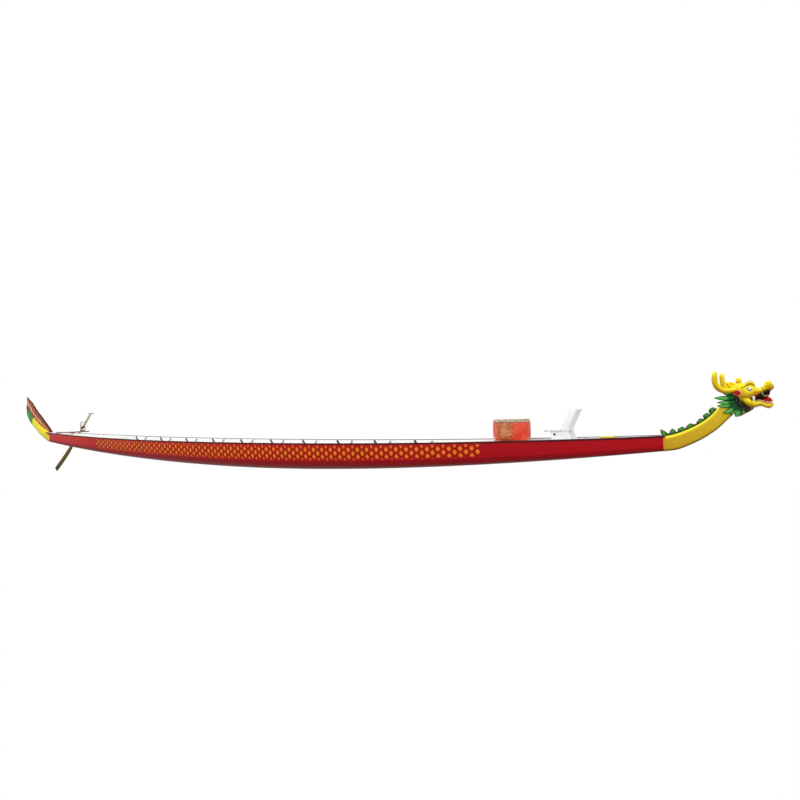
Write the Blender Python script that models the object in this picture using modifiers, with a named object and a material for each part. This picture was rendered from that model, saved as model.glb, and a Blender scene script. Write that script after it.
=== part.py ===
"""A racing dragon boat for twenty paddlers, a drummer and a helmsperson.

Metres, +X to the bow, +Y to port, +Z up. The origin is on the waterline, amidships.
"""
import math

import bmesh
import bpy
from mathutils import Matrix, Vector

# Clearance between pieces that touch
GAP = 0.0003
SEAT = 0.0006
LINER_GAP = 0.0009

# Hull
HULL_HALF_LENGTH = 7.75
HALF_BEAM = 0.55
BOW_HALF_WIDTH = 0.10
STERN_HALF_WIDTH = 0.15
PLAN_POWER = 2.2
FREEBOARD = 0.39
DRAUGHT = 0.16
SHEER = 0.155
SHEER_POWER = 2.2
BOW_RISE = 0.495
BOW_RISE_POWER = 1.9
STERN_RISE = 0.44
STERN_RISE_POWER = 1.9
HULL_STEPS = 24
WALL = 0.008

# Hull sections, bolted end to end: name, first station, last station
HULL_SECTIONS = (
    ("hull_stern", 0, 4),
    ("hull_aft", 4, 9),
    ("hull_middle", 9, 16),
    ("hull_fore", 16, 20),
    ("hull_bow", 20, 24),
)

# Half sections of the hull: share of the half beam, share of the depth
MIDSHIP_SECTION = (
    (1.000, 0.00),
    (0.995, 0.16),
    (0.965, 0.42),
    (0.910, 0.62),
    (0.740, 0.82),
    (0.470, 0.94),
    (0.000, 1.00),
)
END_SECTION = (
    (1.000, 0.00),
    (1.000, 0.16),
    (0.990, 0.42),
    (0.960, 0.66),
    (0.850, 0.84),
    (0.550, 0.95),
    (0.000, 1.00),
)

# Gunwale trim
TRIM_INBOARD = 0.014
TRIM_OUTBOARD = 0.012
TRIM_HEIGHT = 0.008
TRIM_SKIRT = 0.018

# End decks and bulkheads
BOW_DECK_START = 4.85
STERN_DECK_START = -4.90
DECK_DROP = 0.035
DECK_THICKNESS = 0.018
BULKHEAD_THICKNESS = 0.012

# Benches
BENCH_COUNT = 10
BENCH_PITCH = 0.903
FIRST_BENCH_X = -4.36
BENCH_HALF_WIDTH = 0.12
BENCH_DROP = 0.095
BENCH_THICKNESS = 0.022
KNEE_HALF_WIDTH = 0.19
KNEE_THICKNESS = 0.018
KNEE_DROP = 0.012

# Keelson in three lengths, and the post that each bench stands on it with
KEELSON_HALF_WIDTH = 0.025
KEELSON_HEIGHT = 0.05
KEELSON_INSET = 0.01
KEELSON_JOINTS = (-1.1995, 1.5095)
POST_HALF_LENGTH = 0.03

# Bow board
BOW_BOARD_START = 6.92
BOW_BOARD_END = 7.085
BOW_BOARD_HALF_WIDTH = 0.13
BOW_BOARD_TOP = 0.535

# Drum and its stand
DRUM_X = 5.57
DRUM_BOTTOM = 0.475
DRUM_TOP = 0.800
DRUM_SKIN_THICKNESS = 0.012
DRUM_END_RADIUS = 0.272
DRUM_WAIST_RADIUS = 0.2935
DRUM_SHOULDER = 0.55
DRUM_SHOULDER_BULGE = 0.72
DRUM_SIDES = 40
DRUM_STAND_HALF = 0.22

# Drummer's seat
SEAT_FRONT_X = 6.122
SEAT_BACK_X = 6.375
SEAT_REAR_X = 6.480
SEAT_TOP = 0.643
SEAT_PAN_THICKNESS = 0.022
SEAT_LIP_DROP = 0.040
SEAT_WIDTH = 0.42
SEAT_BACK_WIDTH = 0.386
SEAT_BACK_TOP = ((6.612, 0.932), (6.597, 0.944), (6.532, 0.948), (6.514, 0.938))
SEAT_SIDE_Y = 0.17
SEAT_SIDE_THICKNESS = 0.016
SEAT_SIDE_FOOT = (6.245, 6.545)
SEAT_SIDE_FRONT_X = 6.210
SEAT_HOLE = (6.280, 0.566)
SEAT_HOLE_RADIUS = 0.018
SEAT_PANEL_X = 6.310
SEAT_PANEL_THICKNESS = 0.014

# Steering oar and its mounting
LOCK_X = -7.11
LOCK_Y = 0.50
BEAM_HALF_WIDTH = 0.045
BEAM_STARBOARD_END = -0.22
BEAM_PORT_END = 0.66
BEAM_THICKNESS = 0.028
LOCK_BASE_RADIUS = 0.050
LOCK_BASE_HEIGHT = 0.008
LOCK_FOOT_RADIUS = 0.044
LOCK_FOOT_HEIGHT = 0.008
LOCK_INNER_HALF = 0.050
LOCK_CHEEK = 0.014
LOCK_DEPTH = 0.025
LOCK_HEIGHT = 0.240
LOCK_OUTER_CORNER = 0.030
LOCK_INNER_CORNER = 0.022
PIVOT_ABOVE_FLOOR = 0.078
SHAFT_RADIUS = 0.021
SHAFT_ANGLE = math.radians(43.5)
SHAFT_INBOARD = 0.54
SHAFT_OUTBOARD = 0.74
COLLAR_RADIUS = 0.030
COLLAR_LENGTH = 0.070
TRUNNION_RADIUS = 0.008
BLADE_LENGTH = 1.15
BLADE_BEND = math.radians(7.5)
BLADE_SECTIONS = (
    (0.00, 0.026, 0.021),
    (0.06, 0.052, 0.017),
    (0.14, 0.069, 0.013),
    (0.50, 0.074, 0.010),
    (0.90, 0.077, 0.007),
    (0.97, 0.072, 0.006),
    (1.00, 0.056, 0.005),
)
GRIP_RADIUS = 0.016
GRIP_LENGTH = 0.18

# Sides of a round tube, and how square the rings of neck, head and tongue are
TUBE_SIDES = 12
NECK_SQUARENESS = 4.0
HEAD_SQUARENESS = 2.6
TONGUE_SQUARENESS = 2.4

# Dragon's neck: top edge x and z, bottom edge x and z, half width
NECK_ROWS = (
    (7.750, 0.540, 7.750, 0.337, 0.097),
    (7.908, 0.571, 7.900, 0.362, 0.095),
    (8.054, 0.632, 8.075, 0.440, 0.091),
    (8.174, 0.699, 8.225, 0.525, 0.088),
    (8.293, 0.798, 8.375, 0.640, 0.086),
    (8.376, 0.903, 8.480, 0.750, 0.085),
    (8.435, 0.994, 8.575, 0.850, 0.085),
    (8.505, 1.084, 8.655, 0.955, 0.088),
)

# Skull and upper jaw: top edge x and z, bottom edge x and z, half width
SKULL_ROWS = (
    (8.505, 1.084, 8.655, 0.955, 0.088),
    (8.550, 1.190, 8.700, 0.985, 0.112),
    (8.640, 1.236, 8.735, 1.005, 0.130),
    (8.750, 1.248, 8.770, 1.035, 0.125),
    (8.800, 1.220, 8.810, 1.062, 0.110),
    (8.845, 1.188, 8.850, 1.085, 0.095),
    (8.895, 1.221, 8.895, 1.105, 0.090),
    (8.955, 1.256, 8.955, 1.118, 0.085),
    (8.992, 1.220, 8.990, 1.135, 0.065),
    (9.003, 1.195, 9.005, 1.152, 0.040),
)

# Lower jaw: top edge x and z, bottom edge x and z, half width
JAW_ROWS = (
    (8.680, 0.9705, 8.682, 0.940, 0.060),
    (8.705, 0.9872, 8.720, 0.915, 0.092),
    (8.745, 1.0000, 8.755, 0.908, 0.100),
    (8.785, 0.9920, 8.790, 0.910, 0.096),
    (8.850, 0.9750, 8.855, 0.916, 0.086),
    (8.910, 0.9670, 8.930, 0.896, 0.080),
    (8.965, 0.9750, 8.970, 0.905, 0.065),
    (8.990, 0.9620, 8.996, 0.930, 0.040),
)

# Tongue: x, height above the jaw, half width
TONGUE_ROWS = (
    (8.790, 0.016, 0.030),
    (8.850, 0.034, 0.042),
    (8.910, 0.036, 0.042),
    (8.960, 0.022, 0.026),
)

# Antler main beam and second prong: x, y, z, radius
ANTLER_BEAM = (
    (8.640, 0.052, 1.176, 0.036),
    (8.566, 0.074, 1.146, 0.037),
    (8.500, 0.100, 1.128, 0.037),
    (8.437, 0.114, 1.145, 0.037),
    (8.385, 0.130, 1.192, 0.037),
    (8.356, 0.142, 1.262, 0.036),
    (8.359, 0.148, 1.345, 0.032),
    (8.363, 0.148, 1.378, 0.018),
)
ANTLER_PRONG = (
    (8.490, 0.098, 1.135, 0.030),
    (8.458, 0.102, 1.205, 0.031),
    (8.445, 0.107, 1.275, 0.030),
    (8.441, 0.110, 1.330, 0.028),
    (8.441, 0.110, 1.355, 0.016),
)

EYE_PLACE = (8.745, 0.112, 1.145)
EYE_RADIUS = 0.030
EAR_PLACE = (8.610, 0.128, 1.100)
EAR_RADII = (0.050, 0.028, 0.037)
KNOB_PLACE = (8.630, 0.0, 1.245)
KNOB_RADII = (0.044, 0.046, 0.058)

# Tail: top edge x and z, bottom edge x and z, half width, split between body and crest
TAIL_ROWS = (
    (-7.750, 0.540, -7.750, 0.285, 0.135, 0.92),
    (-7.860, 0.660, -7.905, 0.330, 0.118, 0.80),
    (-8.050, 0.810, -8.215, 0.465, 0.100, 0.62),
    (-8.300, 1.000, -8.525, 0.650, 0.082, 0.48),
    (-8.550, 1.200, -8.800, 0.820, 0.064, 0.38),
    (-8.780, 1.420, -8.985, 1.020, 0.046, 0.30),
    (-8.930, 1.510, -9.035, 1.250, 0.030, 0.26),
    (-9.020, 1.578, -9.032, 1.500, 0.014, 0.24),
)
CREST_WIDTH_SHARE = 0.42
CREST_GAP = 0.0007

# Spines on the neck: tip x, tip z
SPINE_TIPS = (
    (7.690, 0.634),
    (7.836, 0.646),
    (7.959, 0.672),
    (8.045, 0.712),
    (8.168, 0.778),
    (8.263, 0.856),
    (8.334, 0.930),
)
SPINE_NOTCH = 0.014
SPINE_THICKNESS = 0.022
SPINE_START = 7.756
SPINE_END = 8.370
NOTCH_SHARE = 0.62

# Mane on each side of the neck: leaf tip x and z, then the notch after it x and z
MANE_LEAVES = (
    (8.351, 1.056, 8.440, 1.022),
    (8.388, 0.936, 8.480, 0.955),
    (8.454, 0.849, 8.530, 0.900),
    (8.520, 0.812, 8.575, 0.872),
    (8.597, 0.788, 8.630, 0.862),
)
MANE_THICKNESS = 0.028
MANE_LAST_TIP = (8.680, 0.830)
MANE_FRONT_LOW = (8.655, 0.930)

# Colours as linear red, green, blue, with roughness and metallic
PAINTS = {
    "hull red": ((0.42, 0.010, 0.014), 0.30, 0.0),
    "trim black": ((0.012, 0.012, 0.012), 0.45, 0.0),
    "gelcoat white": ((0.80, 0.80, 0.78), 0.35, 0.0),
    "stringer wood": ((0.45, 0.28, 0.13), 0.60, 0.0),
    "board yellow": ((0.72, 0.55, 0.05), 0.40, 0.0),
    "neck ochre": ((0.60, 0.36, 0.008), 0.35, 0.0),
    "head yellow": ((0.88, 0.68, 0.015), 0.30, 0.0),
    "mouth red": ((0.55, 0.02, 0.03), 0.40, 0.0),
    "eye white": ((0.85, 0.85, 0.82), 0.20, 0.0),
    "mane green": ((0.03, 0.32, 0.07), 0.40, 0.0),
    "spine green": ((0.05, 0.20, 0.04), 0.40, 0.0),
    "crest red": ((0.60, 0.09, 0.06), 0.40, 0.0),
    "drum red": ((0.70, 0.05, 0.02), 0.30, 0.0),
    "drum skin": ((0.75, 0.66, 0.48), 0.55, 0.0),
    "seat white": ((0.86, 0.86, 0.85), 0.40, 0.0),
    "beam brown": ((0.25, 0.07, 0.05), 0.55, 0.0),
    "lock steel": ((0.22, 0.24, 0.20), 0.40, 0.9),
    "oar wood": ((0.20, 0.12, 0.03), 0.55, 0.0),
}


def clear_scene():
    for obj in list(bpy.data.objects):
        bpy.data.objects.remove(obj)


def make_collection(name):
    collection = bpy.data.collections.new(name)
    bpy.context.scene.collection.children.link(collection)
    return collection


def make_material(name, paint):
    color, roughness, metallic = PAINTS[paint]
    material = bpy.data.materials.new(name)
    material.use_nodes = True
    shader = material.node_tree.nodes["Principled BSDF"]
    shader.inputs["Base Color"].default_value = (*color, 1.0)
    shader.inputs["Roughness"].default_value = roughness
    shader.inputs["Metallic"].default_value = metallic
    material.diffuse_color = (*color, 1.0)
    return material


def add_object(name, data, paint):
    """Link a mesh or a curve as a named piece with its own material."""
    obj = bpy.data.objects.new(name, data)
    data.materials.clear()
    data.materials.append(make_material(name + "_finish", paint))
    boat.objects.link(obj)
    return obj


def mesh_from(bm, name):
    bmesh.ops.recalc_face_normals(bm, faces=bm.faces)
    mesh = bpy.data.meshes.new(name)
    bm.to_mesh(mesh)
    bm.free()
    return mesh


def loft_mesh(name, rings):
    """Skin a closed solid over rings that hold the same number of points."""
    bm = bmesh.new()
    loops = [[bm.verts.new(point) for point in ring] for ring in rings]
    count = len(rings[0])
    for near, far in zip(loops, loops[1:]):
        for i in range(count):
            j = (i + 1) % count
            bm.faces.new((near[i], near[j], far[j]))
            bm.faces.new((near[i], far[j], far[i]))
    bm.faces.new(loops[0])
    bm.faces.new(loops[-1])
    return mesh_from(bm, name)


def flat_outline(name, outlines, thickness, paint, y=0.0):
    """An x-z outline, with any holes after it, as a plate of the given thickness about y."""
    curve = bpy.data.curves.new(name, "CURVE")
    curve.dimensions = "2D"
    curve.fill_mode = "BOTH"
    curve.extrude = thickness / 2
    for outline in outlines:
        spline = curve.splines.new("POLY")
        spline.points.add(len(outline) - 1)
        for point, (x, z) in zip(spline.points, outline):
            point.co = (x, z, 0.0, 1.0)
        spline.use_cyclic_u = True
    obj = add_object(name, curve, paint)
    obj.rotation_euler = (math.pi / 2, 0.0, 0.0)
    obj.location = (0.0, y, 0.0)
    return obj


def box_mesh(name, low, high):
    bm = bmesh.new()
    size = [b - a for a, b in zip(low, high)]
    centre = [(a + b) / 2 for a, b in zip(low, high)]
    bmesh.ops.create_cube(bm, size=1.0, matrix=Matrix.Translation(centre) @ Matrix.Diagonal((*size, 1.0)))
    return mesh_from(bm, name)


def cylinder_mesh(name, radius, depth, matrix, sides=24):
    bm = bmesh.new()
    bmesh.ops.create_cone(bm, cap_ends=True, segments=sides, radius1=radius, radius2=radius,
                          depth=depth, matrix=matrix)
    return mesh_from(bm, name)


def place_origin(obj, point):
    """Move an object's origin to a point without moving its shape."""
    obj.data.transform(Matrix.Translation(-Vector(point)))
    obj.location = point


def add_boolean(obj, other, operation):
    modifier = obj.modifiers.new(operation.lower(), "BOOLEAN")
    modifier.operation = operation
    modifier.object = other
    modifier.solver = "EXACT"


def add_tool(name, data):
    """Link a cutter or a joined shape that is not a piece of its own."""
    obj = bpy.data.objects.new(name, data)
    tools.objects.link(obj)
    obj.hide_render = True
    obj.display_type = "WIRE"
    return obj


# Hull form

def blend(low, high, share):
    return low + (high - low) * share


def station_length(x):
    return min(abs(x) / HULL_HALF_LENGTH, 1.0)


def half_beam_at(x):
    end = BOW_HALF_WIDTH if x > 0 else STERN_HALF_WIDTH
    return blend(HALF_BEAM, end, station_length(x) ** PLAN_POWER)


def gunwale_at(x):
    return FREEBOARD + SHEER * station_length(x) ** SHEER_POWER


def keel_at(x):
    if x > 0:
        return -DRAUGHT + BOW_RISE * station_length(x) ** BOW_RISE_POWER
    return -DRAUGHT + STERN_RISE * station_length(x) ** STERN_RISE_POWER


def station_x(index):
    return blend(-HULL_HALF_LENGTH, HULL_HALF_LENGTH, index / HULL_STEPS)


def along_facets(form, x):
    """Value of a form between two stations, on the straight facet that joins them."""
    place = (x + HULL_HALF_LENGTH) / (2 * HULL_HALF_LENGTH) * HULL_STEPS
    index = min(max(int(math.floor(place)), 0), HULL_STEPS - 1)
    return blend(form(station_x(index)), form(station_x(index + 1)), place - index)


def stations_between(start, end):
    """Both ends, with each hull station between them."""
    inner = [station_x(i) for i in range(HULL_STEPS + 1) if start < station_x(i) < end]
    return [start, *inner, end]


def half_section(x, inset=0.0):
    """Points from the gunwale to the keel on the port side, moved inward by the inset."""
    beam = along_facets(half_beam_at, x)
    top = along_facets(gunwale_at, x)
    depth = top - along_facets(keel_at, x)
    share = station_length(x) ** 2
    points = []
    for middle, end in zip(MIDSHIP_SECTION, END_SECTION):
        width = blend(middle[0], end[0], share)
        fall = blend(middle[1], end[1], share)
        points.append(Vector((width * beam, top - fall * depth)))
    if inset == 0.0:
        return points
    normals = []
    for a, b in zip(points, points[1:]):
        run = (b - a).normalized()
        normals.append(Vector((run.y, -run.x)))
    moved = [points[0] + inset * normals[0] / abs(normals[0].x)]
    moved[0].y = points[0].y
    for point, before, after in zip(points[1:-1], normals, normals[1:]):
        middle = (before + after).normalized()
        moved.append(point + middle * inset / middle.dot(before))
    moved.append(points[-1] + Vector((0.0, inset / abs(normals[-1].y))))
    return moved


def inner_half_at(x, z):
    """Half width between the inner faces of the hull at a height."""
    section = half_section(x, WALL + LINER_GAP)
    for high, low in zip(section, section[1:]):
        if low.y <= z <= high.y:
            return blend(low.x, high.x, (z - low.y) / (high.y - low.y))
    return section[0].x


def inner_floor_at(x, y):
    """Height of the inner face of the bottom at a distance from the centreline."""
    section = half_section(x, WALL + LINER_GAP)
    for outer, inner in zip(section, section[1:]):
        if inner.x <= y <= outer.x:
            return blend(inner.y, outer.y, (y - inner.x) / (outer.x - inner.x))
    return section[-1].y


def deck_top_at(x):
    return along_facets(gunwale_at, x) - DECK_DROP


def build_hull_section(name, first, last):
    """One length of the open shell, closed by a plate where the hull ends."""
    bm = bmesh.new()
    rows = []
    for index in range(first, last + 1):
        x = station_x(index)
        if index == last != HULL_STEPS:
            x -= SEAT
        port = half_section(x)
        ring = [(x, p.x, p.y) for p in port]
        ring += [(x, -p.x, p.y) for p in reversed(port[:-1])]
        rows.append([bm.verts.new(point) for point in ring])
    for near, far in zip(rows, rows[1:]):
        for i in range(len(near) - 1):
            bm.faces.new((near[i], far[i], far[i + 1], near[i + 1]))
    if first == 0:
        bm.faces.new(rows[0])
    if last == HULL_STEPS:
        bm.faces.new(list(reversed(rows[-1])))
    mesh = bpy.data.meshes.new(name)
    bm.to_mesh(mesh)
    bm.free()
    shell = add_object(name, mesh, "hull red").modifiers.new("wall", "SOLIDIFY")
    shell.thickness = WALL
    shell.offset = -1.0
    shell.use_even_offset = True


def build_gunwale_trim(side, name):
    rings = []
    for index in range(HULL_STEPS + 1):
        x = station_x(index)
        if index in (0, HULL_STEPS):
            x *= 1.0 - SEAT
        edge = along_facets(half_beam_at, x)
        top = along_facets(gunwale_at, x)
        profile = (
            (edge - TRIM_INBOARD, top + TRIM_HEIGHT),
            (edge + TRIM_OUTBOARD, top + TRIM_HEIGHT),
            (edge + TRIM_OUTBOARD, top - TRIM_SKIRT),
            (edge + SEAT, top - TRIM_SKIRT),
            (edge + SEAT, top + SEAT),
            (edge - TRIM_INBOARD, top + SEAT),
        )
        rings.append([(x, side * y, z) for y, z in profile])
    add_object(name, loft_mesh(name, rings), "trim black")


def build_deck(name, start, end):
    rings = []
    for x in stations_between(start, end):
        top = deck_top_at(x)
        low = top - DECK_THICKNESS
        upper = inner_half_at(x, top)
        lower = inner_half_at(x, low)
        rings.append([(x, upper, top), (x, -upper, top), (x, -lower, low), (x, lower, low)])
    add_object(name, loft_mesh(name, rings), "gelcoat white")


def build_bulkhead(name, x):
    rings = []
    for face in (x, x + BULKHEAD_THICKNESS):
        top = deck_top_at(face) - DECK_THICKNESS - SEAT
        port = [(inner_half_at(face, top), top)]
        port += [(p.x, p.y) for p in half_section(face, WALL + LINER_GAP) if p.y < top]
        ring = [(face, y, z) for y, z in port]
        ring += [(face, -y, z) for y, z in reversed(port[:-1])]
        rings.append(ring)
    add_object(name, loft_mesh(name, rings), "gelcoat white")


# Benches

def bench_x(index):
    return FIRST_BENCH_X + index * BENCH_PITCH


def bench_top_at(x):
    return gunwale_at(x) - BENCH_DROP


def keelson_top_at(x):
    return inner_floor_at(x, KEELSON_HALF_WIDTH) + KEELSON_HEIGHT


def build_bench(index):
    """A board with a flared knee at each end and a post in the middle, all one moulding."""
    x = bench_x(index)
    board_top = bench_top_at(x)
    board_low = board_top - BENCH_THICKNESS
    knee_top = gunwale_at(x) - KNEE_DROP
    faces = []
    for way in (-1, 1):
        board_x = x + way * BENCH_HALF_WIDTH
        knee_x = x + way * KNEE_HALF_WIDTH
        knee_y = inner_half_at(knee_x, knee_top)
        low_y = inner_half_at(board_x, board_low)
        top_y = inner_half_at(board_x, board_top) - KNEE_THICKNESS
        faces.append([
            (knee_x, knee_y, knee_top),
            (board_x, low_y, board_low),
            (board_x, -low_y, board_low),
            (knee_x, -knee_y, knee_top),
            (knee_x, KNEE_THICKNESS - knee_y, knee_top),
            (board_x, -top_y, board_top),
            (board_x, top_y, board_top),
            (knee_x, knee_y - KNEE_THICKNESS, knee_top),
        ])
    bm = bmesh.new()
    stern, bow = ([bm.verts.new(point) for point in face] for face in faces)
    count = len(stern)
    for i in range(count):
        j = (i + 1) % count
        bm.faces.new((stern[i], stern[j], bow[j], bow[i]))
    for quad in ((0, 1, 6, 7), (1, 2, 5, 6), (2, 3, 4, 5)):
        bm.faces.new([stern[i] for i in quad])
        bm.faces.new([bow[i] for i in reversed(quad)])
    name = f"bench_{index + 1:02d}"
    bench = add_object(name, mesh_from(bm, name), "gelcoat white")
    rings = []
    for edge in (x - POST_HALF_LENGTH, x + POST_HALF_LENGTH):
        top, low = board_low + BENCH_THICKNESS / 2, keelson_top_at(edge) + SEAT
        rings.append([(edge, KEELSON_HALF_WIDTH, top), (edge, -KEELSON_HALF_WIDTH, top),
                      (edge, -KEELSON_HALF_WIDTH, low), (edge, KEELSON_HALF_WIDTH, low)])
    add_boolean(bench, add_tool(name + "_post", loft_mesh(name + "_post", rings)), "UNION")


def build_keelson():
    """A low beam along the bottom, butted at its joints."""
    start = STERN_DECK_START + BULKHEAD_THICKNESS + KEELSON_INSET
    ends = [start, *KEELSON_JOINTS, BOW_DECK_START - KEELSON_INSET]
    for name, start, end in zip(("keelson_stern", "keelson_middle", "keelson_bow"), ends, ends[1:]):
        bottom = [(x, inner_floor_at(x, KEELSON_HALF_WIDTH)) for x in stations_between(start, end - SEAT)]
        top = [(x, z + KEELSON_HEIGHT) for x, z in bottom]
        flat_outline(name, [bottom + top[::-1]], 2 * KEELSON_HALF_WIDTH, "stringer wood")


# Pieces on the bow deck

def deck_block(name, start, end, half_width, top, paint):
    """A block whose underside lies on the deck and whose top is level."""
    rings = []
    for x in stations_between(start, end):
        low = deck_top_at(x) + SEAT
        rings.append([(x, half_width, top), (x, -half_width, top),
                      (x, -half_width, low), (x, half_width, low)])
    add_object(name, loft_mesh(name, rings), paint)


def turned(name, profile, x, paint):
    """A closed profile of radius and height, turned about an upright axis at x."""
    bm = bmesh.new()
    verts = [bm.verts.new((radius, 0.0, z)) for radius, z in profile]
    for a, b in zip(verts, verts[1:]):
        bm.edges.new((a, b))
    mesh = bpy.data.meshes.new(name)
    bm.to_mesh(mesh)
    bm.free()
    obj = add_object(name, mesh, paint)
    obj.location = (x, 0.0, 0.0)
    screw = obj.modifiers.new("turn", "SCREW")
    screw.steps = DRUM_SIDES
    screw.render_steps = DRUM_SIDES
    screw.use_merge_vertices = True
    screw.merge_threshold = 0.0001
    return obj


def build_drum():
    deck_block("drum_stand", DRUM_X - DRUM_STAND_HALF, DRUM_X + DRUM_STAND_HALF, DRUM_STAND_HALF,
               DRUM_BOTTOM - GAP, "stringer wood")
    body_top = DRUM_TOP - DRUM_SKIN_THICKNESS - GAP
    middle = (DRUM_BOTTOM + body_top) / 2
    shoulder = (body_top - middle) * DRUM_SHOULDER
    near_waist = blend(DRUM_END_RADIUS, DRUM_WAIST_RADIUS, DRUM_SHOULDER_BULGE)
    turned("drum_body", (
        (0.0, body_top),
        (DRUM_END_RADIUS, body_top),
        (near_waist, middle + shoulder),
        (DRUM_WAIST_RADIUS, middle),
        (near_waist, middle - shoulder),
        (DRUM_END_RADIUS, DRUM_BOTTOM),
        (0.0, DRUM_BOTTOM),
    ), DRUM_X, "drum red")
    turned("drum_skin", (
        (0.0, DRUM_TOP),
        (DRUM_END_RADIUS - DRUM_SKIN_THICKNESS / 2, DRUM_TOP),
        (DRUM_END_RADIUS, DRUM_TOP - DRUM_SKIN_THICKNESS / 2),
        (DRUM_END_RADIUS, DRUM_TOP - DRUM_SKIN_THICKNESS),
        (0.0, DRUM_TOP - DRUM_SKIN_THICKNESS),
    ), DRUM_X, "drum skin")


def circle_points(centre, radius, sides):
    return [(centre[0] + radius * math.cos(2 * math.pi * i / sides),
             centre[1] + radius * math.sin(2 * math.pi * i / sides)) for i in range(sides)]


def build_seat():
    pan_low = SEAT_TOP - SEAT_PAN_THICKNESS
    pan = (
        (SEAT_FRONT_X, SEAT_TOP - SEAT_LIP_DROP),
        (SEAT_FRONT_X + SEAT_PAN_THICKNESS, SEAT_TOP - SEAT_LIP_DROP),
        (SEAT_FRONT_X + SEAT_PAN_THICKNESS, pan_low),
        (SEAT_BACK_X - SEAT, pan_low),
        (SEAT_BACK_X - SEAT, SEAT_TOP),
        (SEAT_FRONT_X + SEAT_PAN_THICKNESS / 2, SEAT_TOP),
        (SEAT_FRONT_X, SEAT_TOP - SEAT_PAN_THICKNESS / 2),
    )
    flat_outline("seat_pan", [pan], SEAT_WIDTH, "seat white")
    back = (
        (SEAT_BACK_X, SEAT_TOP),
        (SEAT_BACK_X, pan_low),
        (SEAT_REAR_X, pan_low),
        (SEAT_REAR_X, SEAT_TOP),
        *SEAT_BACK_TOP,
    )
    flat_outline("seat_back", [back], SEAT_BACK_WIDTH, "seat white")
    foot = [(x, deck_top_at(x) + SEAT) for x in stations_between(*SEAT_SIDE_FOOT)]
    side = [*foot, (SEAT_REAR_X, pan_low - SEAT), (SEAT_SIDE_FRONT_X, pan_low - SEAT)]
    hole = circle_points(SEAT_HOLE, SEAT_HOLE_RADIUS, 16)
    for way, name in ((1, "seat_side_port"), (-1, "seat_side_starboard")):
        flat_outline(name, [side, hole], SEAT_SIDE_THICKNESS, "seat white", y=way * SEAT_SIDE_Y)
    panel_half = SEAT_SIDE_Y - SEAT_SIDE_THICKNESS / 2 - SEAT
    deck_block("seat_front_panel", SEAT_PANEL_X, SEAT_PANEL_X + SEAT_PANEL_THICKNESS, panel_half,
               pan_low - SEAT, "seat white")


# Dragon's head, neck and tail

def ring_between(top, low, half_width, power=3.0, points=16):
    """A rounded ring whose height runs from the low point to the top point."""
    ring = []
    reach = math.cos(math.pi / points) ** (2 / power)
    for i in range(points):
        angle = 2 * math.pi * (i + 0.5) / points
        across, along = math.cos(angle), math.sin(angle)
        y = half_width * math.copysign(abs(across) ** (2 / power), across) / reach
        share = 0.5 + 0.5 * math.copysign(abs(along) ** (2 / power), along) / reach
        ring.append((blend(low[0], top[0], share), y, blend(low[1], top[1], share)))
    return ring


def rings_from(rows, power):
    return [ring_between((r[0], r[1]), (r[2], r[3]), r[4], power) for r in rows]


def row_normal(row):
    """Direction in the x-z plane at right angles to a row, toward the next rows."""
    run = Vector((row[0] - row[2], row[1] - row[3])).normalized()
    return Vector((run.y, -run.x))


def build_neck():
    rows = list(NECK_ROWS)
    rows[0] = (rows[0][0] + SEAT, rows[0][1], rows[0][2] + SEAT, *rows[0][3:])
    add_object("neck", loft_mesh("neck", rings_from(rows, NECK_SQUARENESS)), "neck ochre")


def neck_top_at(x):
    """Height of the neck's top edge, taken straight between its rows."""
    for a, b in zip(NECK_ROWS, NECK_ROWS[1:]):
        if x <= b[0]:
            break
    return blend(a[1], b[1], (x - a[0]) / (b[0] - a[0]))


def build_spines():
    rows = [row[0] for row in NECK_ROWS if SPINE_START < row[0] < SPINE_END]
    base = [(x, neck_top_at(x) + SEAT) for x in (SPINE_START, *rows, SPINE_END)]
    outline = [(SPINE_START, neck_top_at(SPINE_START) + SPINE_NOTCH)]
    for (tip_x, tip_z), (next_x, _) in zip(SPINE_TIPS, SPINE_TIPS[1:]):
        notch_x = blend(tip_x, next_x, NOTCH_SHARE)
        outline.append((tip_x, tip_z))
        outline.append((notch_x, neck_top_at(notch_x) + SPINE_NOTCH))
    outline.append(SPINE_TIPS[-1])
    flat_outline("neck_spines", [base + outline[::-1]], SPINE_THICKNESS, "spine green")


def ellipsoid_mesh(name, place, radii):
    bm = bmesh.new()
    matrix = Matrix.Translation(place) @ Matrix.Diagonal((*radii, 1.0))
    bmesh.ops.create_uvsphere(bm, u_segments=16, v_segments=10, radius=1.0, matrix=matrix)
    return mesh_from(bm, name)


def tube_mesh(name, path, side, extra):
    """A round tube of changing radius along a path, closed at both ends."""
    points = [Vector((x, side * y, z)) for x, y, z, _ in path]
    rings = []
    for i, point in enumerate(points):
        before = points[max(i - 1, 0)]
        after = points[min(i + 1, len(points) - 1)]
        run = (after - before).normalized()
        across = run.cross(Vector((0, 1, 0))).normalized()
        up = across.cross(run)
        radius = path[i][3] + extra
        shift = run * extra * ((i == len(points) - 1) - (i == 0))
        rings.append([point + shift + radius * (math.cos(a) * across + math.sin(a) * up)
                      for a in (2 * math.pi * k / TUBE_SIDES for k in range(TUBE_SIDES))])
    return loft_mesh(name, rings)


def build_antler(side, name, skull):
    beam = add_object(name, tube_mesh(name, ANTLER_BEAM, side, 0.0), "head yellow")
    prong = add_tool(name + "_prong", tube_mesh(name + "_prong", ANTLER_PRONG, side, 0.0))
    add_boolean(beam, prong, "UNION")
    for path, part in ((ANTLER_BEAM, "beam"), (ANTLER_PRONG, "prong")):
        tool_name = f"{name}_{part}_socket"
        add_boolean(skull, add_tool(tool_name, tube_mesh(tool_name, path, side, SEAT)), "DIFFERENCE")


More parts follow.
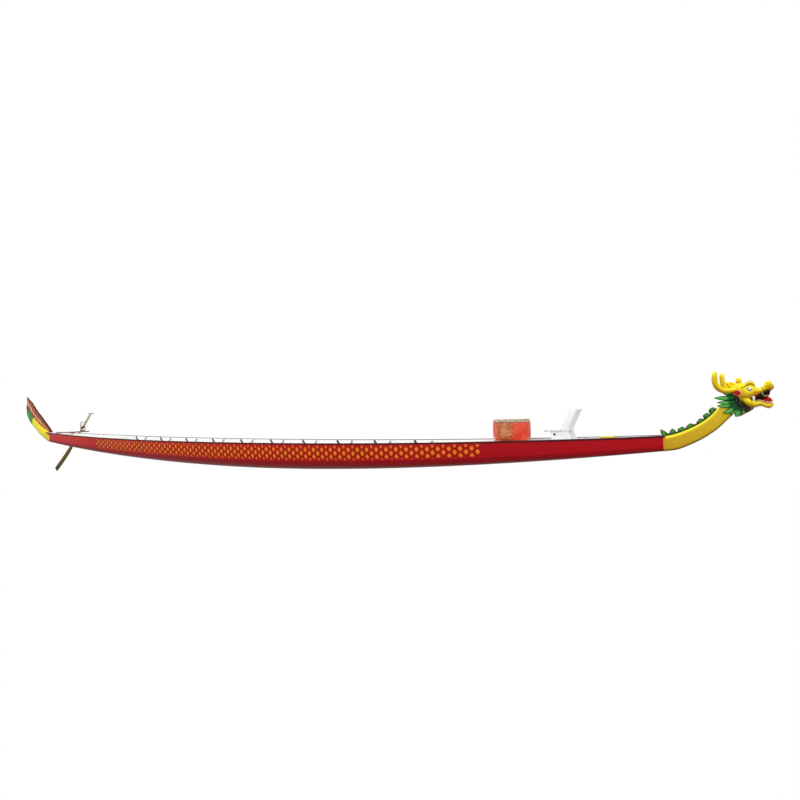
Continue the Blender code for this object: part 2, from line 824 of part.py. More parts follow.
def build_head():
    first = SKULL_ROWS[0]
    step = row_normal(first) * SEAT
    rows = [(first[0] + step.x, first[1] + step.y, first[2] + step.x, first[3] + step.y, first[4])]
    rows += SKULL_ROWS[1:]
    skull = loft_mesh("head_skull", rings_from(rows, HEAD_SQUARENESS))
    skull = add_object("head_skull", skull, "head yellow")
    for side, word in ((1, "port"), (-1, "starboard")):
        for part, place, radii, paint in (("eye", EYE_PLACE, (EYE_RADIUS,) * 3, "eye white"),
                                          ("ear", EAR_PLACE, EAR_RADII, "mouth red")):
            name = f"{part}_{word}"
            spot = (place[0], side * place[1], place[2])
            add_object(name, ellipsoid_mesh(name, spot, radii), paint)
            wide = [r + SEAT for r in radii]
            cutter = add_tool(name + "_socket", ellipsoid_mesh(name + "_socket", spot, wide))
            add_boolean(skull, cutter, "DIFFERENCE")
        build_antler(side, f"antler_{word}", skull)
    add_object("crown_knob", ellipsoid_mesh("crown_knob", KNOB_PLACE, KNOB_RADII), "head yellow")
    wide = [r + SEAT for r in KNOB_RADII]
    add_boolean(skull, add_tool("knob_socket", ellipsoid_mesh("knob_socket", KNOB_PLACE, wide)), "DIFFERENCE")
    jaw = loft_mesh("head_lower_jaw", rings_from(JAW_ROWS, HEAD_SQUARENESS))
    add_object("head_lower_jaw", jaw, "head yellow")


def jaw_top_at(x):
    for a, b in zip(JAW_ROWS, JAW_ROWS[1:]):
        if a[0] <= x <= b[0]:
            return blend(a[1], b[1], (x - a[0]) / (b[0] - a[0]))
    return JAW_ROWS[-1][1]


def build_tongue():
    inner = [r[0] for r in JAW_ROWS if TONGUE_ROWS[0][0] < r[0] < TONGUE_ROWS[-1][0]]
    rings = []
    for x in sorted({*(r[0] for r in TONGUE_ROWS), *inner}):
        for a, b in zip(TONGUE_ROWS, TONGUE_ROWS[1:]):
            if a[0] <= x <= b[0]:
                share = (x - a[0]) / (b[0] - a[0])
                height, half = blend(a[1], b[1], share), blend(a[2], b[2], share)
        low = jaw_top_at(x) + SEAT
        rings.append(ring_between((x, low + height), (x, low), half, TONGUE_SQUARENESS))
    add_object("tongue", loft_mesh("tongue", rings), "mouth red")


def build_mane(side, name):
    last = NECK_ROWS[-1]
    step = row_normal(last) * -SEAT
    front_top = (last[0] + step.x, last[1] + step.y)
    front_low = (last[2] + step.x, last[3] + step.y)
    outline = [front_low, front_top]
    for tip_x, tip_z, notch_x, notch_z in MANE_LEAVES:
        outline += [(tip_x, tip_z), (notch_x, notch_z)]
    outline += [MANE_LAST_TIP, MANE_FRONT_LOW]
    inner_face = max(row[4] for row in NECK_ROWS[4:]) + SEAT
    flat_outline(name, [outline], MANE_THICKNESS, "mane green", y=side * (inner_face + MANE_THICKNESS / 2))


def build_tail():
    body, crest = [], []
    for top_x, top_z, low_x, low_z, half, split in TAIL_ROWS:
        shift = -SEAT if top_x == -HULL_HALF_LENGTH else 0.0
        top, low = Vector((top_x + shift, top_z)), Vector((low_x + shift, low_z))
        line = low.lerp(top, split)
        seat = (top - low).normalized() * CREST_GAP
        body.append(ring_between(line, low, half))
        crest.append(ring_between(top, line + seat, half * CREST_WIDTH_SHARE))
    add_object("tail_body", loft_mesh("tail_body", body), "head yellow")
    add_object("tail_crest", loft_mesh("tail_crest", crest), "crest red")


# Steering oar

def build_oar():
    beam_low = gunwale_at(LOCK_X - BEAM_HALF_WIDTH) + TRIM_HEIGHT + GAP
    beam_top = beam_low + BEAM_THICKNESS
    beam = box_mesh("oar_beam", (LOCK_X - BEAM_HALF_WIDTH, BEAM_STARBOARD_END, beam_low),
                    (LOCK_X + BEAM_HALF_WIDTH, BEAM_PORT_END, beam_top))
    add_object("oar_beam", beam, "beam brown")

    base_low = beam_top + GAP
    base_top = base_low + LOCK_BASE_HEIGHT
    place = Matrix.Translation((LOCK_X, LOCK_Y, (base_low + base_top) / 2))
    base = cylinder_mesh("oarlock_base", LOCK_BASE_RADIUS, LOCK_BASE_HEIGHT, place)
    add_object("oarlock_base", base, "lock steel")

    foot_low = base_top + SEAT
    foot_top = foot_low + LOCK_FOOT_HEIGHT
    place = Matrix.Translation((LOCK_X, LOCK_Y, (foot_low + foot_top) / 2))
    foot = cylinder_mesh("oarlock_foot", LOCK_FOOT_RADIUS, LOCK_FOOT_HEIGHT, place)
    foot = add_object("oarlock_foot", foot, "lock steel")
    place_origin(foot, (LOCK_X, LOCK_Y, foot_low))

    loop_low = foot_top + GAP
    floor = loop_low + LOCK_CHEEK
    build_oarlock_loop(loop_low)
    pivot = (LOCK_X, LOCK_Y, floor + PIVOT_ABOVE_FLOOR)
    build_collar(pivot)
    build_oar_pieces(pivot)


def build_oarlock_loop(loop_low):
    """An upright ring, open fore and aft, with its upper corners cut."""
    outer_half = LOCK_INNER_HALF + LOCK_CHEEK
    rings = []
    for half, low, high, corner in (
            (outer_half, loop_low, loop_low + LOCK_HEIGHT, LOCK_OUTER_CORNER),
            (LOCK_INNER_HALF, loop_low + LOCK_CHEEK, loop_low + LOCK_HEIGHT - LOCK_CHEEK,
             LOCK_INNER_CORNER)):
        rings.append([(-half, low), (half, low), (half, high - corner), (half - corner, high),
                      (corner - half, high), (-half, high - corner)])
    loop = flat_outline("oarlock_loop", rings, LOCK_DEPTH, "lock steel")
    loop.rotation_euler = (math.pi / 2, 0.0, math.pi / 2)
    loop.location = (LOCK_X, LOCK_Y, 0.0)


def shaft_matrix(pivot):
    """Frame at the pivot whose z axis runs up along the shaft, toward the grip."""
    return Matrix.Translation(pivot) @ Matrix.Rotation(math.pi / 2 - SHAFT_ANGLE, 4, "Y")


def build_collar(pivot):
    frame = shaft_matrix(pivot)
    collar = cylinder_mesh("oar_collar", COLLAR_RADIUS, COLLAR_LENGTH, frame)
    collar = add_object("oar_collar", collar, "lock steel")
    bore = cylinder_mesh("collar_bore", SHAFT_RADIUS + SEAT, 2 * COLLAR_LENGTH, frame)
    bore = add_tool("collar_bore", bore)
    inner = SHAFT_RADIUS + 2 * SEAT
    outer = LOCK_INNER_HALF - SEAT
    for way, word in ((1, "port"), (-1, "starboard")):
        centre = Vector(pivot) + Vector((0.0, way * (inner + outer) / 2, 0.0))
        lie = Matrix.Translation(centre) @ Matrix.Rotation(math.pi / 2, 4, "X")
        pin = cylinder_mesh(f"trunnion_{word}", TRUNNION_RADIUS, outer - inner, lie, 16)
        add_boolean(collar, add_tool(f"trunnion_{word}", pin), "UNION")
    add_boolean(collar, bore, "DIFFERENCE")
    place_origin(collar, pivot)


def build_oar_pieces(pivot):
    frame = shaft_matrix(pivot)
    length = SHAFT_INBOARD + SHAFT_OUTBOARD
    middle = (SHAFT_INBOARD - SHAFT_OUTBOARD) / 2
    shaft = cylinder_mesh("oar_shaft", SHAFT_RADIUS, length, frame @ Matrix.Translation((0, 0, middle)), 20)
    place_origin(add_object("oar_shaft", shaft, "oar wood"), pivot)

    grip_place = frame @ Matrix.Translation((0, 0, SHAFT_INBOARD + GRIP_RADIUS + SEAT))
    grip_place = grip_place @ Matrix.Rotation(math.pi / 2, 4, "X")
    grip = cylinder_mesh("oar_grip", GRIP_RADIUS, GRIP_LENGTH, grip_place, 16)
    place_origin(add_object("oar_grip", grip, "oar wood"), pivot)
    build_blade(frame, pivot)


def build_blade(frame, pivot):
    """A long thin blade that bends gently upward toward its tip."""
    rings = []
    for share, half_width, half_thickness in BLADE_SECTIONS:
        run = share * BLADE_LENGTH
        sway = run * math.tan(BLADE_BEND * share) / 2
        lie = frame @ Matrix.Translation((-sway, 0, -SHAFT_OUTBOARD - SEAT - run))
        ring = []
        for k in range(TUBE_SIDES):
            angle = 2 * math.pi * k / TUBE_SIDES
            ring.append(lie @ Vector((half_width * math.cos(angle), half_thickness * math.sin(angle), 0.0)))
        rings.append(ring)
    place_origin(add_object("oar_blade", loft_mesh("oar_blade", rings), "oar wood"), pivot)


clear_scene()
boat = make_collection("dragon_boat")
tools = make_collection("cutters")

for section in HULL_SECTIONS:
    build_hull_section(*section)
build_gunwale_trim(1, "gunwale_trim_port")
build_gunwale_trim(-1, "gunwale_trim_starboard")
build_deck("bow_deck", BOW_DECK_START, HULL_HALF_LENGTH - WALL - SEAT)
build_deck("stern_deck", SEAT + WALL - HULL_HALF_LENGTH, STERN_DECK_START + BULKHEAD_THICKNESS)
build_bulkhead("bow_bulkhead", BOW_DECK_START)
build_bulkhead("stern_bulkhead", STERN_DECK_START)
for bench in range(BENCH_COUNT):
    build_bench(bench)
build_keelson()
deck_block("bow_board", BOW_BOARD_START, BOW_BOARD_END, BOW_BOARD_HALF_WIDTH, BOW_BOARD_TOP, "board yellow")
build_drum()
build_seat()
build_neck()
build_spines()
build_head()
build_tongue()
build_mane(1, "mane_port")
build_mane(-1, "mane_starboard")
build_tail()
build_oar()
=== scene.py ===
import math
from functools import partial

import bmesh
import bpy
from mathutils import Matrix, Vector
from mathutils.bvhtree import BVHTree


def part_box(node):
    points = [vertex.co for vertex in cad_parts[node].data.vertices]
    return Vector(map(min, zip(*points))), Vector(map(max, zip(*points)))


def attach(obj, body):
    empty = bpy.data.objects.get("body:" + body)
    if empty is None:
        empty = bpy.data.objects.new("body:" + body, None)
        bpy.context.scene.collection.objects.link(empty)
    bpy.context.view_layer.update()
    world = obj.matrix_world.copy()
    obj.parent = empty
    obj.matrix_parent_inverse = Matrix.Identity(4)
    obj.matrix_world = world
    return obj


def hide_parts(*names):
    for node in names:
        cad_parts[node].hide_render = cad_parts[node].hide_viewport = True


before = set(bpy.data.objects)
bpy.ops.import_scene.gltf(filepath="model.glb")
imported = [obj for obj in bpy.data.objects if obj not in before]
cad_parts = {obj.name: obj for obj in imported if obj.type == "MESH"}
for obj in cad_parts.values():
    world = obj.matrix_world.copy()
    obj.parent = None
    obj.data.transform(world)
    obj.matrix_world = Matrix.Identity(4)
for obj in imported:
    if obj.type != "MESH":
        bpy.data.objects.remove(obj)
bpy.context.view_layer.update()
bothSides = ((1, "port"), (-1, "starboard"))

nodeKinds = {
    # short name: type, settings, where its values go, what it reads unless told otherwise, the output in use
    "mix": ("ShaderNodeMix", {"data_type": "RGBA"}, (0, 6, 7), {}, 2),
    "fade": ("ShaderNodeMapRange", {"interpolation_type": "SMOOTHSTEP"}, range(5), {}, 0),
    "noise": ("ShaderNodeTexNoise", {}, ("Scale", "Detail", "Roughness"), {"Vector": "object"}, 0),
    "stretched": ("ShaderNodeMapping", {}, ("Scale", "Rotation"), {"Vector": "object"}, 0),
    "relief": ("ShaderNodeBump", {}, ("Height", "Strength", "Distance"), {"Distance": 0.001}, 0),
    "object": ("ShaderNodeTexCoord", {}, (), {}, "Object"),
    "normal": ("ShaderNodeNewGeometry", {}, (), {}, "Normal"),
    "uv": ("ShaderNodeUVMap", {}, (), {}, 0),
}
for name in "xyz":
    nodeKinds[name] = ("ShaderNodeSeparateXYZ", {}, (0,), {0: "object"}, name.upper())
for name in ("add", "subtract", "multiply", "multiply_add", "divide", "power", "sqrt", "absolute", "fract", "minimum",
             "maximum", "less_than", "greater_than", "cosine", "arctan2"):
    nodeKinds[name] = ("ShaderNodeMath", {"operation": name.upper()}, range(3), {}, 0)


def srgb(code):
    # hex colour as a designer writes it, turned to the linear values that Blender mixes
    parts = [int(code[i:i + 2], 16) / 255 for i in (1, 3, 5)]
    return (*(c / 12.92 if c <= 0.04045 else ((c + 0.055) / 1.055) ** 2.4 for c in parts), 1.0)


def addNode(tree, kind, *values, out=None, **others):
    # one node with its settings, its values and its links; others are settings, or inputs where they start large
    kind, settings, slots, given, output = nodeKinds.get(kind, (kind, {}, range(9), {}, 0))
    node = tree.nodes.new(kind)
    given = {**given, **dict(zip(slots, values))}
    for name, value in {**settings, **others}.items():
        if name[0].islower():
            setattr(node, name, value)
        else:
            given[name.replace("_", " ")] = value
    for socket, value in given.items():
        if isinstance(value, str) and value[0] == "#":
            value = srgb(value)
        elif isinstance(value, str) and value in nodeKinds:
            value = addNode(tree, value)
        if isinstance(value, bpy.types.NodeSocket):
            tree.links.new(value, node.inputs[socket])
        else:
            node.inputs[socket].default_value = value
    return node.outputs[out or output]


def gapTo(add, value, centre):
    return add("absolute", add("subtract", value, centre))


def between(add, value, start, full, waning, end):
    # rises to 1 and falls again
    return add("multiply", add("fade", value, start, full), add("fade", value, waning, end, 1.0, 0.0))


def distance(add, first, second):
    return add("sqrt", add("add", add("power", first, 2.0), add("power", second, 2.0)))


def coats(add, ground, *layers):
    # colours over a ground; a layer is its colour and its share, or the value that it follows, start and end
    for colour, *follows in layers:
        share = add("fade", *follows) if len(follows) > 1 else follows[0]
        ground = add("mix", share, ground, colour)
    return ground


def startMaterial(name, colour, roughness, metallic=0.0, ior=1.5, specular=0.5, **sockets):
    # a material, the function that adds its nodes and the one that links results to its shader
    material = bpy.data.materials.new(name)
    material.use_nodes = True
    tree = material.node_tree
    inputs = tree.nodes["Principled BSDF"].inputs
    fixed = {"Base_Color": srgb(colour), "Roughness": roughness, "Metallic": metallic, "IOR": ior,
             "Specular_IOR_Level": specular, **sockets}
    for socket, value in fixed.items():
        inputs[socket.replace("_", " ")].default_value = value

    def finish(**results):
        for socket, result in results.items():
            tree.links.new(result, inputs[socket.replace("_", " ")])
    return material, partial(addNode, tree), finish


def coated(name, colour, grime, amount, scale=50.0, gloss=(0.2, 0.32), strength=0.15, relief=0.001, glossScale=60.0,
           specular=0.18, **sockets):
    # one clear colour, unevenly soiled, with uneven gloss and a fine relief
    material, add, finish = startMaterial(name, colour, sum(gloss) / 2, specular=specular, **sockets)
    finish(Base_Color=coats(add, colour, (grime, add("noise", 3.0, 5.0), 0.35, 0.75, 0.0, amount)),
           Roughness=add("fade", add("noise", glossScale, 3.0), 0.3, 0.7, *gloss),
           Normal=add("relief", add("noise", scale, 2.0), strength, relief))
    return material


def paintAlong(name, base, tip, outline, start, full, margin, heart=None):
    # gloss paint that turns from base to tip along a leaf, with a dark outline and sometimes a pale heart
    material, add, finish = startMaterial(name, base, 0.3, specular=0.16)
    spread, along = (add(axis, add("uv", uv_map="leaf")) for axis in "xy")
    edge = gapTo(add, add("fract", add("multiply", spread, 2.0)), 0.5)
    streak = add("noise", 40.0, 3.0)
    colour = coats(add, base, (tip, along, start, full), (base, streak, 0.45, 0.7, 0.0, 0.35))
    if heart:
        middle = add("multiply", add("fade", edge, 0.10, 0.24, 1.0, 0.0), between(add, along, 0.30, 0.45, 0.78, 0.9))
        colour = coats(add, colour, (heart, middle))
    finish(Base_Color=coats(add, colour, (outline, edge, margin, margin + 0.06), (outline, along, 0.93, 0.97)),
           Normal=add("relief", streak, 0.15))
    return material


def mixed(low, high, share):
    return low + (high - low) * share


def smoothRows(rows, steps):
    # rows of numbers with a smooth curve through every row
    smooth = []
    last = len(rows) - 1
    for i in range(last):
        nearby = rows[max(i - 1, 0)], rows[i], rows[i + 1], rows[min(i + 2, last)]
        for t in (k / steps for k in range(steps)):
            smooth.append(tuple(
                0.5 * (2 * q + (r - p) * t + (2 * p - 5 * q + 4 * r - s) * t * t + (3 * q - p - 3 * r + s) * t ** 3)
                for p, q, r, s in zip(*nearby)))
    smooth.append(tuple(rows[-1]))
    return smooth


def circle(count, extra=0):
    return [(math.cos(a), math.sin(a)) for a in (2 * math.pi * k / count for k in range(count + extra))]


def mirrored(path):
    # the port path and its starboard twin
    return [[(x, side * y, *rest) for x, y, *rest in path] for side in (1, -1)]


def ringBetween(top, low, halfWidth, power, points):
    # a rounded upright ring from its low point to its top point
    ring = []
    for across, along in circle(points):
        y = halfWidth * math.copysign(abs(across) ** (2 / power), across)
        share = 0.5 + 0.5 * math.copysign(abs(along) ** (2 / power), along)
        ring.append(Vector((mixed(low[0], top[0], share), y, mixed(low[1], top[1], share))))
    return ring


def ringsOf(rows, steps, power, points):
    # rings over rows of top x and z, low x and z, half width
    return [ringBetween(r[0:2], r[2:4], r[4], power, points) for r in smoothRows(rows, steps)]


def tubeRings(path, points, flat=1.0, up=Vector((0, 1, 0))):
    # rings of changing radius along a path of x, y, z, radius; flat squeezes them along up
    rings = []
    for i, row in enumerate(path):
        before, after = path[max(i - 1, 0)], path[min(i + 1, len(path) - 1)]
        run = (Vector(after[:3]) - Vector(before[:3])).normalized()
        side = run.cross(up).normalized()
        lift = side.cross(run)
        rings.append([Vector(row[:3]) + row[3] * (c * side + flat * s * lift) for c, s in circle(points)])
    return rings


def leafRings(foot, tip, halfWidth, halfThickness, bend=0.0, steps=10, points=12, start=0.75):
    # a pointed leaf from foot to tip, standing upright along the boat
    along = Vector(tip) - Vector(foot)
    face = Vector((0, 1, 0))
    across = along.normalized().cross(face).normalized()
    rings = []
    for t in (i / steps for i in range(steps + 1)):
        if t < 0.45:
            width = start + (1 - start) * math.sin(math.pi * t / 0.9)
        else:
            width = math.cos(math.pi / 2 * (t - 0.45) / 0.55) ** 0.8
        width = halfWidth * max(width, 0.03)
        thick = halfThickness * max(1 - t ** 3, 0.12)
        middle = Vector(foot) + along * t + across * bend * math.sin(math.pi * t)
        rings.append([middle + across * width * c + face * thick * s for c, s in circle(points)])
    return rings


def skinRings(bm, rings, uvName=None, capEnds=True):
    # quads over rings of equal length; u runs round a ring and v from the first ring to the last
    loops = [[bm.verts.new(p) for p in ring] for ring in rings]
    count = len(rings[0])
    layer = (bm.loops.layers.uv.get(uvName) or bm.loops.layers.uv.new(uvName)) if uvName else None
    faces = []

    def addFace(corners, places):
        face = bm.faces.new(corners)
        faces.append(face)
        if layer:
            for loop, (u, v) in zip(face.loops, places):
                loop[layer].uv = (u / count, v)

    for row, (near, far) in enumerate(zip(loops, loops[1:])):
        low, high = row / (len(rings) - 1), (row + 1) / (len(rings) - 1)
        for i in range(count):
            j = (i + 1) % count
            addFace((near[i], near[j], far[j], far[i]), ((i, low), (i + 1, low), (i + 1, high), (i, high)))
    if capEnds:
        for ring, v in ((loops[0], 0.0), (loops[-1], 1.0)):
            middle = bm.verts.new(sum((vert.co for vert in ring), Vector()) / count)
            for i in range(count):
                addFace((ring[i], ring[(i + 1) % count], middle), ((i, v), (i + 1, v), (i + 0.5, v)))
    bmesh.ops.recalc_face_normals(bm, faces=faces)


def inScene(name, data):
    made = bpy.data.objects.new(name, data)
    bpy.context.scene.collection.objects.link(made)
    return made


def makePiece(name, bm, *paints):
    mesh = bpy.data.meshes.new(name)
    bm.to_mesh(mesh)
    bm.free()
    for paint in paints:
        mesh.materials.append(paint)
    mesh.shade_smooth()
    return inScene(name, mesh)


def settle(piece, slot, *nodes, body="hull", sharp=0.0):
    if sharp:
        piece.data.set_sharp_from_angle(angle=math.radians(sharp))
    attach(piece, body)
    if nodes:
        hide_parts(*nodes)
    return piece


def skinned(name, paint, slot, skins, *nodes, uv=None, aft=None, **settling):
    # one piece whose skins each run over a list of rings; aft is the farthest astern that it may reach
    bm = bmesh.new()
    for rings in skins:
        skinRings(bm, rings, uv)
    if aft is not None:
        for vert in bm.verts:
            vert.co.x = max(vert.co.x, aft)
    return settle(makePiece(name, bm, paint), slot, *nodes, **settling)


def balls(name, paint, slot, rows, *nodes):
    # rows of place, radii and segments
    bm = bmesh.new()
    for place, radii, segments in rows:
        bmesh.ops.create_uvsphere(bm, u_segments=segments, v_segments=segments // 2, radius=1.0,
                                  matrix=Matrix.Translation(place) @ Matrix.Diagonal((*radii, 1.0)))
    settle(makePiece(name, bm, paint), slot, *nodes)


def softened(name, node, paint, width, slot, segments=2, body="hull"):
    # a rigid piece from its plain solid, with the small rounded edges that a mould or a plane leaves
    bm = bmesh.new()
    bm.from_mesh(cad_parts[node].data)
    bmesh.ops.remove_doubles(bm, verts=bm.verts, dist=0.00005)
    bmesh.ops.dissolve_limit(bm, angle_limit=math.radians(1.0), verts=bm.verts, edges=bm.edges)
    edges = [e for e in bm.edges if len(e.link_faces) == 2 and e.calc_face_angle(0.0) > math.radians(28)]
    bmesh.ops.bevel(bm, geom=edges, offset=width, segments=segments, profile=0.5, affect="EDGES", clamp_overlap=True)
    settle(makePiece(name, bm, paint), slot, node, body=body, sharp=40.0)


def domedHead(add, given):
    # a low dome, as a screw or a tack has
    dome = add("GeometryNodeMeshUVSphere", Segments=given["headSides"], Rings=6, Radius=1.0)
    size = add("ShaderNodeCombineXYZ", given["headRadius"], given["headRadius"], given["headHeight"])
    return add("GeometryNodeTransform", Geometry=dome, Scale=size)


def curlOfWire(add, given):
    # a snail of round wire that rises to its middle
    snail = add("GeometryNodeCurveSpiral", Resolution=given["curlSteps"], Rotations=1.8,
                Start_Radius=given["curlRadius"], End_Radius=0.003, Height=0.006)
    wire = add("GeometryNodeCurvePrimitiveCircle", Resolution=8, Radius=given["wireRadius"])
    made = add("GeometryNodeCurveToMesh", Curve=snail, Profile_Curve=wire, Fill_Caps=True)
    return add("GeometryNodeSetShadeSmooth", Geometry=made)


def spreadOn(name, places, shape, paint, slot, **sizes):
    # Geometry Nodes: one shape on each point, standing along that point's outward direction
    tree = bpy.data.node_groups.new(name + "Rule", "GeometryNodeTree")
    add = partial(addNode, tree)
    for way in ("INPUT", "OUTPUT"):
        tree.interface.new_socket("Geometry", in_out=way, socket_type="NodeSocketGeometry")
    sockets = {}
    for label, value in sizes.items():
        kind = "NodeSocketInt" if isinstance(value, int) else "NodeSocketFloat"
        sockets[label] = tree.interface.new_socket(label, in_out="INPUT", socket_type=kind).identifier
    given = tree.nodes.new("NodeGroupInput").outputs
    outward = add("GeometryNodeInputNamedAttribute", Name="outward", data_type="FLOAT_VECTOR")
    spread = add("GeometryNodeInstanceOnPoints", Points=given["Geometry"], Instance=shape(add, given),
                 Rotation=add("FunctionNodeAlignEulerToVector", Vector=outward, axis="Z"))
    real = add("GeometryNodeRealizeInstances", Geometry=spread)
    painted = add("GeometryNodeSetMaterial", Geometry=real, Material=paint)
    tree.links.new(painted, tree.nodes.new("NodeGroupOutput").inputs[0])
    points = bpy.data.meshes.new(name + "Points")
    points.from_pydata([place for place, way in places], [], [])
    aim = points.attributes.new("outward", "FLOAT_VECTOR", "POINT")
    for i, (place, way) in enumerate(places):
        aim.data[i].vector = way
    host = inScene(name + "Host", points)
    rule = host.modifiers.new("rule", "NODES")
    rule.node_group = tree
    for label, value in sizes.items():
        rule[sockets[label]] = value
    mesh = bpy.data.meshes.new_from_object(host.evaluated_get(bpy.context.evaluated_depsgraph_get()))
    bpy.data.objects.remove(host)
    mesh.name = name
    mesh.shade_smooth()
    settle(inScene(name, mesh), slot)


# camera, floor and light
view = {
    "place": (8.3405, -8.3038, 1.0534),
    "yaw": 30.0,        # degrees from straight across the boat toward the stern
    "pitch": 0.585,
    "roll": -1.433,
    "lens": 24.434,     # 543 pixels across 800 on a 36 mm sensor
}

yaw, pitch, roll = (math.radians(view[k]) for k in ("yaw", "pitch", "roll"))
forward = Vector((-math.sin(yaw) * math.cos(pitch), math.cos(yaw) * math.cos(pitch), math.sin(pitch)))
level = Vector((math.cos(yaw), math.sin(yaw), 0.0))
upright = level.cross(forward)
turned = (math.cos(roll) * level + math.sin(roll) * upright,
          math.cos(roll) * upright - math.sin(roll) * level, -forward)
camera = inScene("camera", bpy.data.cameras.new("camera"))
camera.data.lens = view["lens"]
camera.data.sensor_width = 36.0
camera.data.clip_end = 200.0
camera.matrix_world = Matrix.Translation(view["place"]) @ Matrix(turned).transposed().to_4x4()
bpy.context.scene.camera = camera

stage = {
    "floorSize": 120.0,
    "floorColour": "#FFFFFF",
    "clearness": 0.999,     # the floor lies at the waterline and is clear enough to show what is under water
    "backdrop": 1.0,
    "skyAbove": 0.94,       # light from above, from the sides and from below, as white cards would give it
    "skyBelow": 0.34,
}

bm = bmesh.new()
bmesh.ops.create_grid(bm, x_segments=8, y_segments=8, size=stage["floorSize"] / 2)
floorPaint, add, finish = startMaterial("pale clear studio floor", stage["floorColour"], 0.9)
ground = add("ShaderNodeBsdfDiffuse", Color=stage["floorColour"], Roughness=0.0)
mostlyClear = add("ShaderNodeMixShader", stage["clearness"], ground, add("ShaderNodeBsdfTransparent"))
tree = floorPaint.node_tree
tree.links.new(mostlyClear, tree.nodes["Material Output"].inputs["Surface"])
makePiece("studio_floor", bm, floorPaint)

world = bpy.data.worlds.new("studio")
world.use_nodes = True
tree = world.node_tree
add = partial(addNode, tree)
backdrop = tree.nodes["Background"]
backdrop.inputs["Color"].default_value = srgb("#FFFFFF")
backdrop.inputs["Strength"].default_value = stage["backdrop"]
height = add("z", add("ShaderNodeTexCoord", out="Generated"))
soft = add("ShaderNodeBackground", Color="#FFFFFF",
           Strength=add("fade", height, -0.35, 0.30, stage["skyBelow"], stage["skyAbove"]))
seen = add("ShaderNodeLightPath", out="Is Camera Ray")
shown = add("ShaderNodeMixShader", seen, soft, backdrop.outputs[0])
tree.links.new(shown, tree.nodes["World Output"].inputs["Surface"])
bpy.context.scene.world = world
bpy.context.scene.view_settings.view_transform = "Standard"

lamps = (
    # name, place, aimed at, size, watts
    ("overheadPanel", (0.0, -1.0, 9.0), (0.0, 0.0, 0.4), 16.0, 110.0),
    ("bowPanel", (14.0, -9.0, 7.0), (7.0, 0.0, 0.8), 5.0, 320.0),
    ("sidePanel", (-2.0, -14.0, 6.0), (0.0, 0.0, 0.3), 12.0, 520.0),
    ("portPanel", (0.0, 14.0, 6.0), (0.0, 0.0, 0.3), 12.0, 300.0),
)
for name, place, aim, size, watts in lamps:
    lamp = inScene(name, bpy.data.lights.new(name, "AREA"))
    lamp.data.size = size
    lamp.data.energy = watts
    way = (Vector(place) - Vector(aim)).to_track_quat("Z", "Y")
    lamp.matrix_world = Matrix.Translation(place) @ way.to_matrix().to_4x4()
print("camera, floor and lights stand")

# hull
hullForm = {
    "halfLength": 7.75,
    "halfBeam": 0.55,
    "bowHalfWidth": 0.10,
    "sternHalfWidth": 0.15,
    "planPower": 2.2,
    "freeboard": 0.39,
    "sheer": 0.155,
    "draught": 0.16,
    "bowRise": 0.495,
    "sternRise": 0.44,
    "risePower": 1.9,
    "wall": 0.008,
    "stations": 150,
    # share of the half beam and of the depth, from the gunwale to the keel
    "midship": ((1.0, 0.0), (0.995, 0.16), (0.965, 0.42), (0.91, 0.62), (0.74, 0.82), (0.47, 0.94), (0.0, 1.0)),
    "ends": ((1.0, 0.0), (1.0, 0.16), (0.99, 0.42), (0.96, 0.66), (0.85, 0.84), (0.55, 0.95), (0.0, 1.0)),
    "chinePoint": 3,
    "sectionSteps": 5,
}


def alongHull(x):
    return min(abs(x) / hullForm["halfLength"], 1.0)


def halfBeamAt(x):
    end = hullForm["bowHalfWidth" if x > 0 else "sternHalfWidth"]
    return mixed(hullForm["halfBeam"], end, alongHull(x) ** hullForm["planPower"])


def gunwaleAt(x):
    return hullForm["freeboard"] + hullForm["sheer"] * alongHull(x) ** 2.2


def keelAt(x):
    return hullForm["bowRise" if x > 0 else "sternRise"] * alongHull(x) ** hullForm["risePower"] - hullForm["draught"]


def sectionAt(x, inset=0.0):
    # y, z from the port gunwale down to the keel
    share = alongHull(x) ** 2
    rows = [tuple(mixed(m, e, share) for m, e in zip(mid, end))
            for mid, end in zip(hullForm["midship"], hullForm["ends"])]
    chine, steps = hullForm["chinePoint"], hullForm["sectionSteps"]
    rows = smoothRows(rows[:chine + 1], steps)[:-1] + smoothRows(rows[chine:], steps)
    top, depth = gunwaleAt(x), gunwaleAt(x) - keelAt(x)
    points = [Vector((w * halfBeamAt(x), top - f * depth)) for w, f in rows]
    if not inset:
        return points
    moved = []
    for i, point in enumerate(points):
        run = (points[min(i + 1, len(points) - 1)] - points[max(i - 1, 0)]).normalized()
        moved.append(point + inset * Vector((run.y, -run.x)))
    moved[0].y = points[0].y
    moved[-1].x = 0.0
    return moved


def innerHalfAt(x, z):
    section = sectionAt(x, hullForm["wall"] + 0.0005)
    for high, low in zip(section, section[1:]):
        if low.y <= z <= high.y:
            return mixed(low.x, high.x, (z - low.y) / (high.y - low.y))
    return section[0].x


hullPattern = {
    "start": -4.99,         # metres from amidships, toward the stern
    "end": 5.185,
    "lastColumn": 5.130,
    "columnStep": 0.19,     # metres between scales in one row
    "rowStep": 0.0676,      # metres between rows amidships
    "rowShrink": 0.16,      # how much closer the rows lie at the band's ends
    "seams": (-5.167, -1.9375, 2.583, 5.167),
}

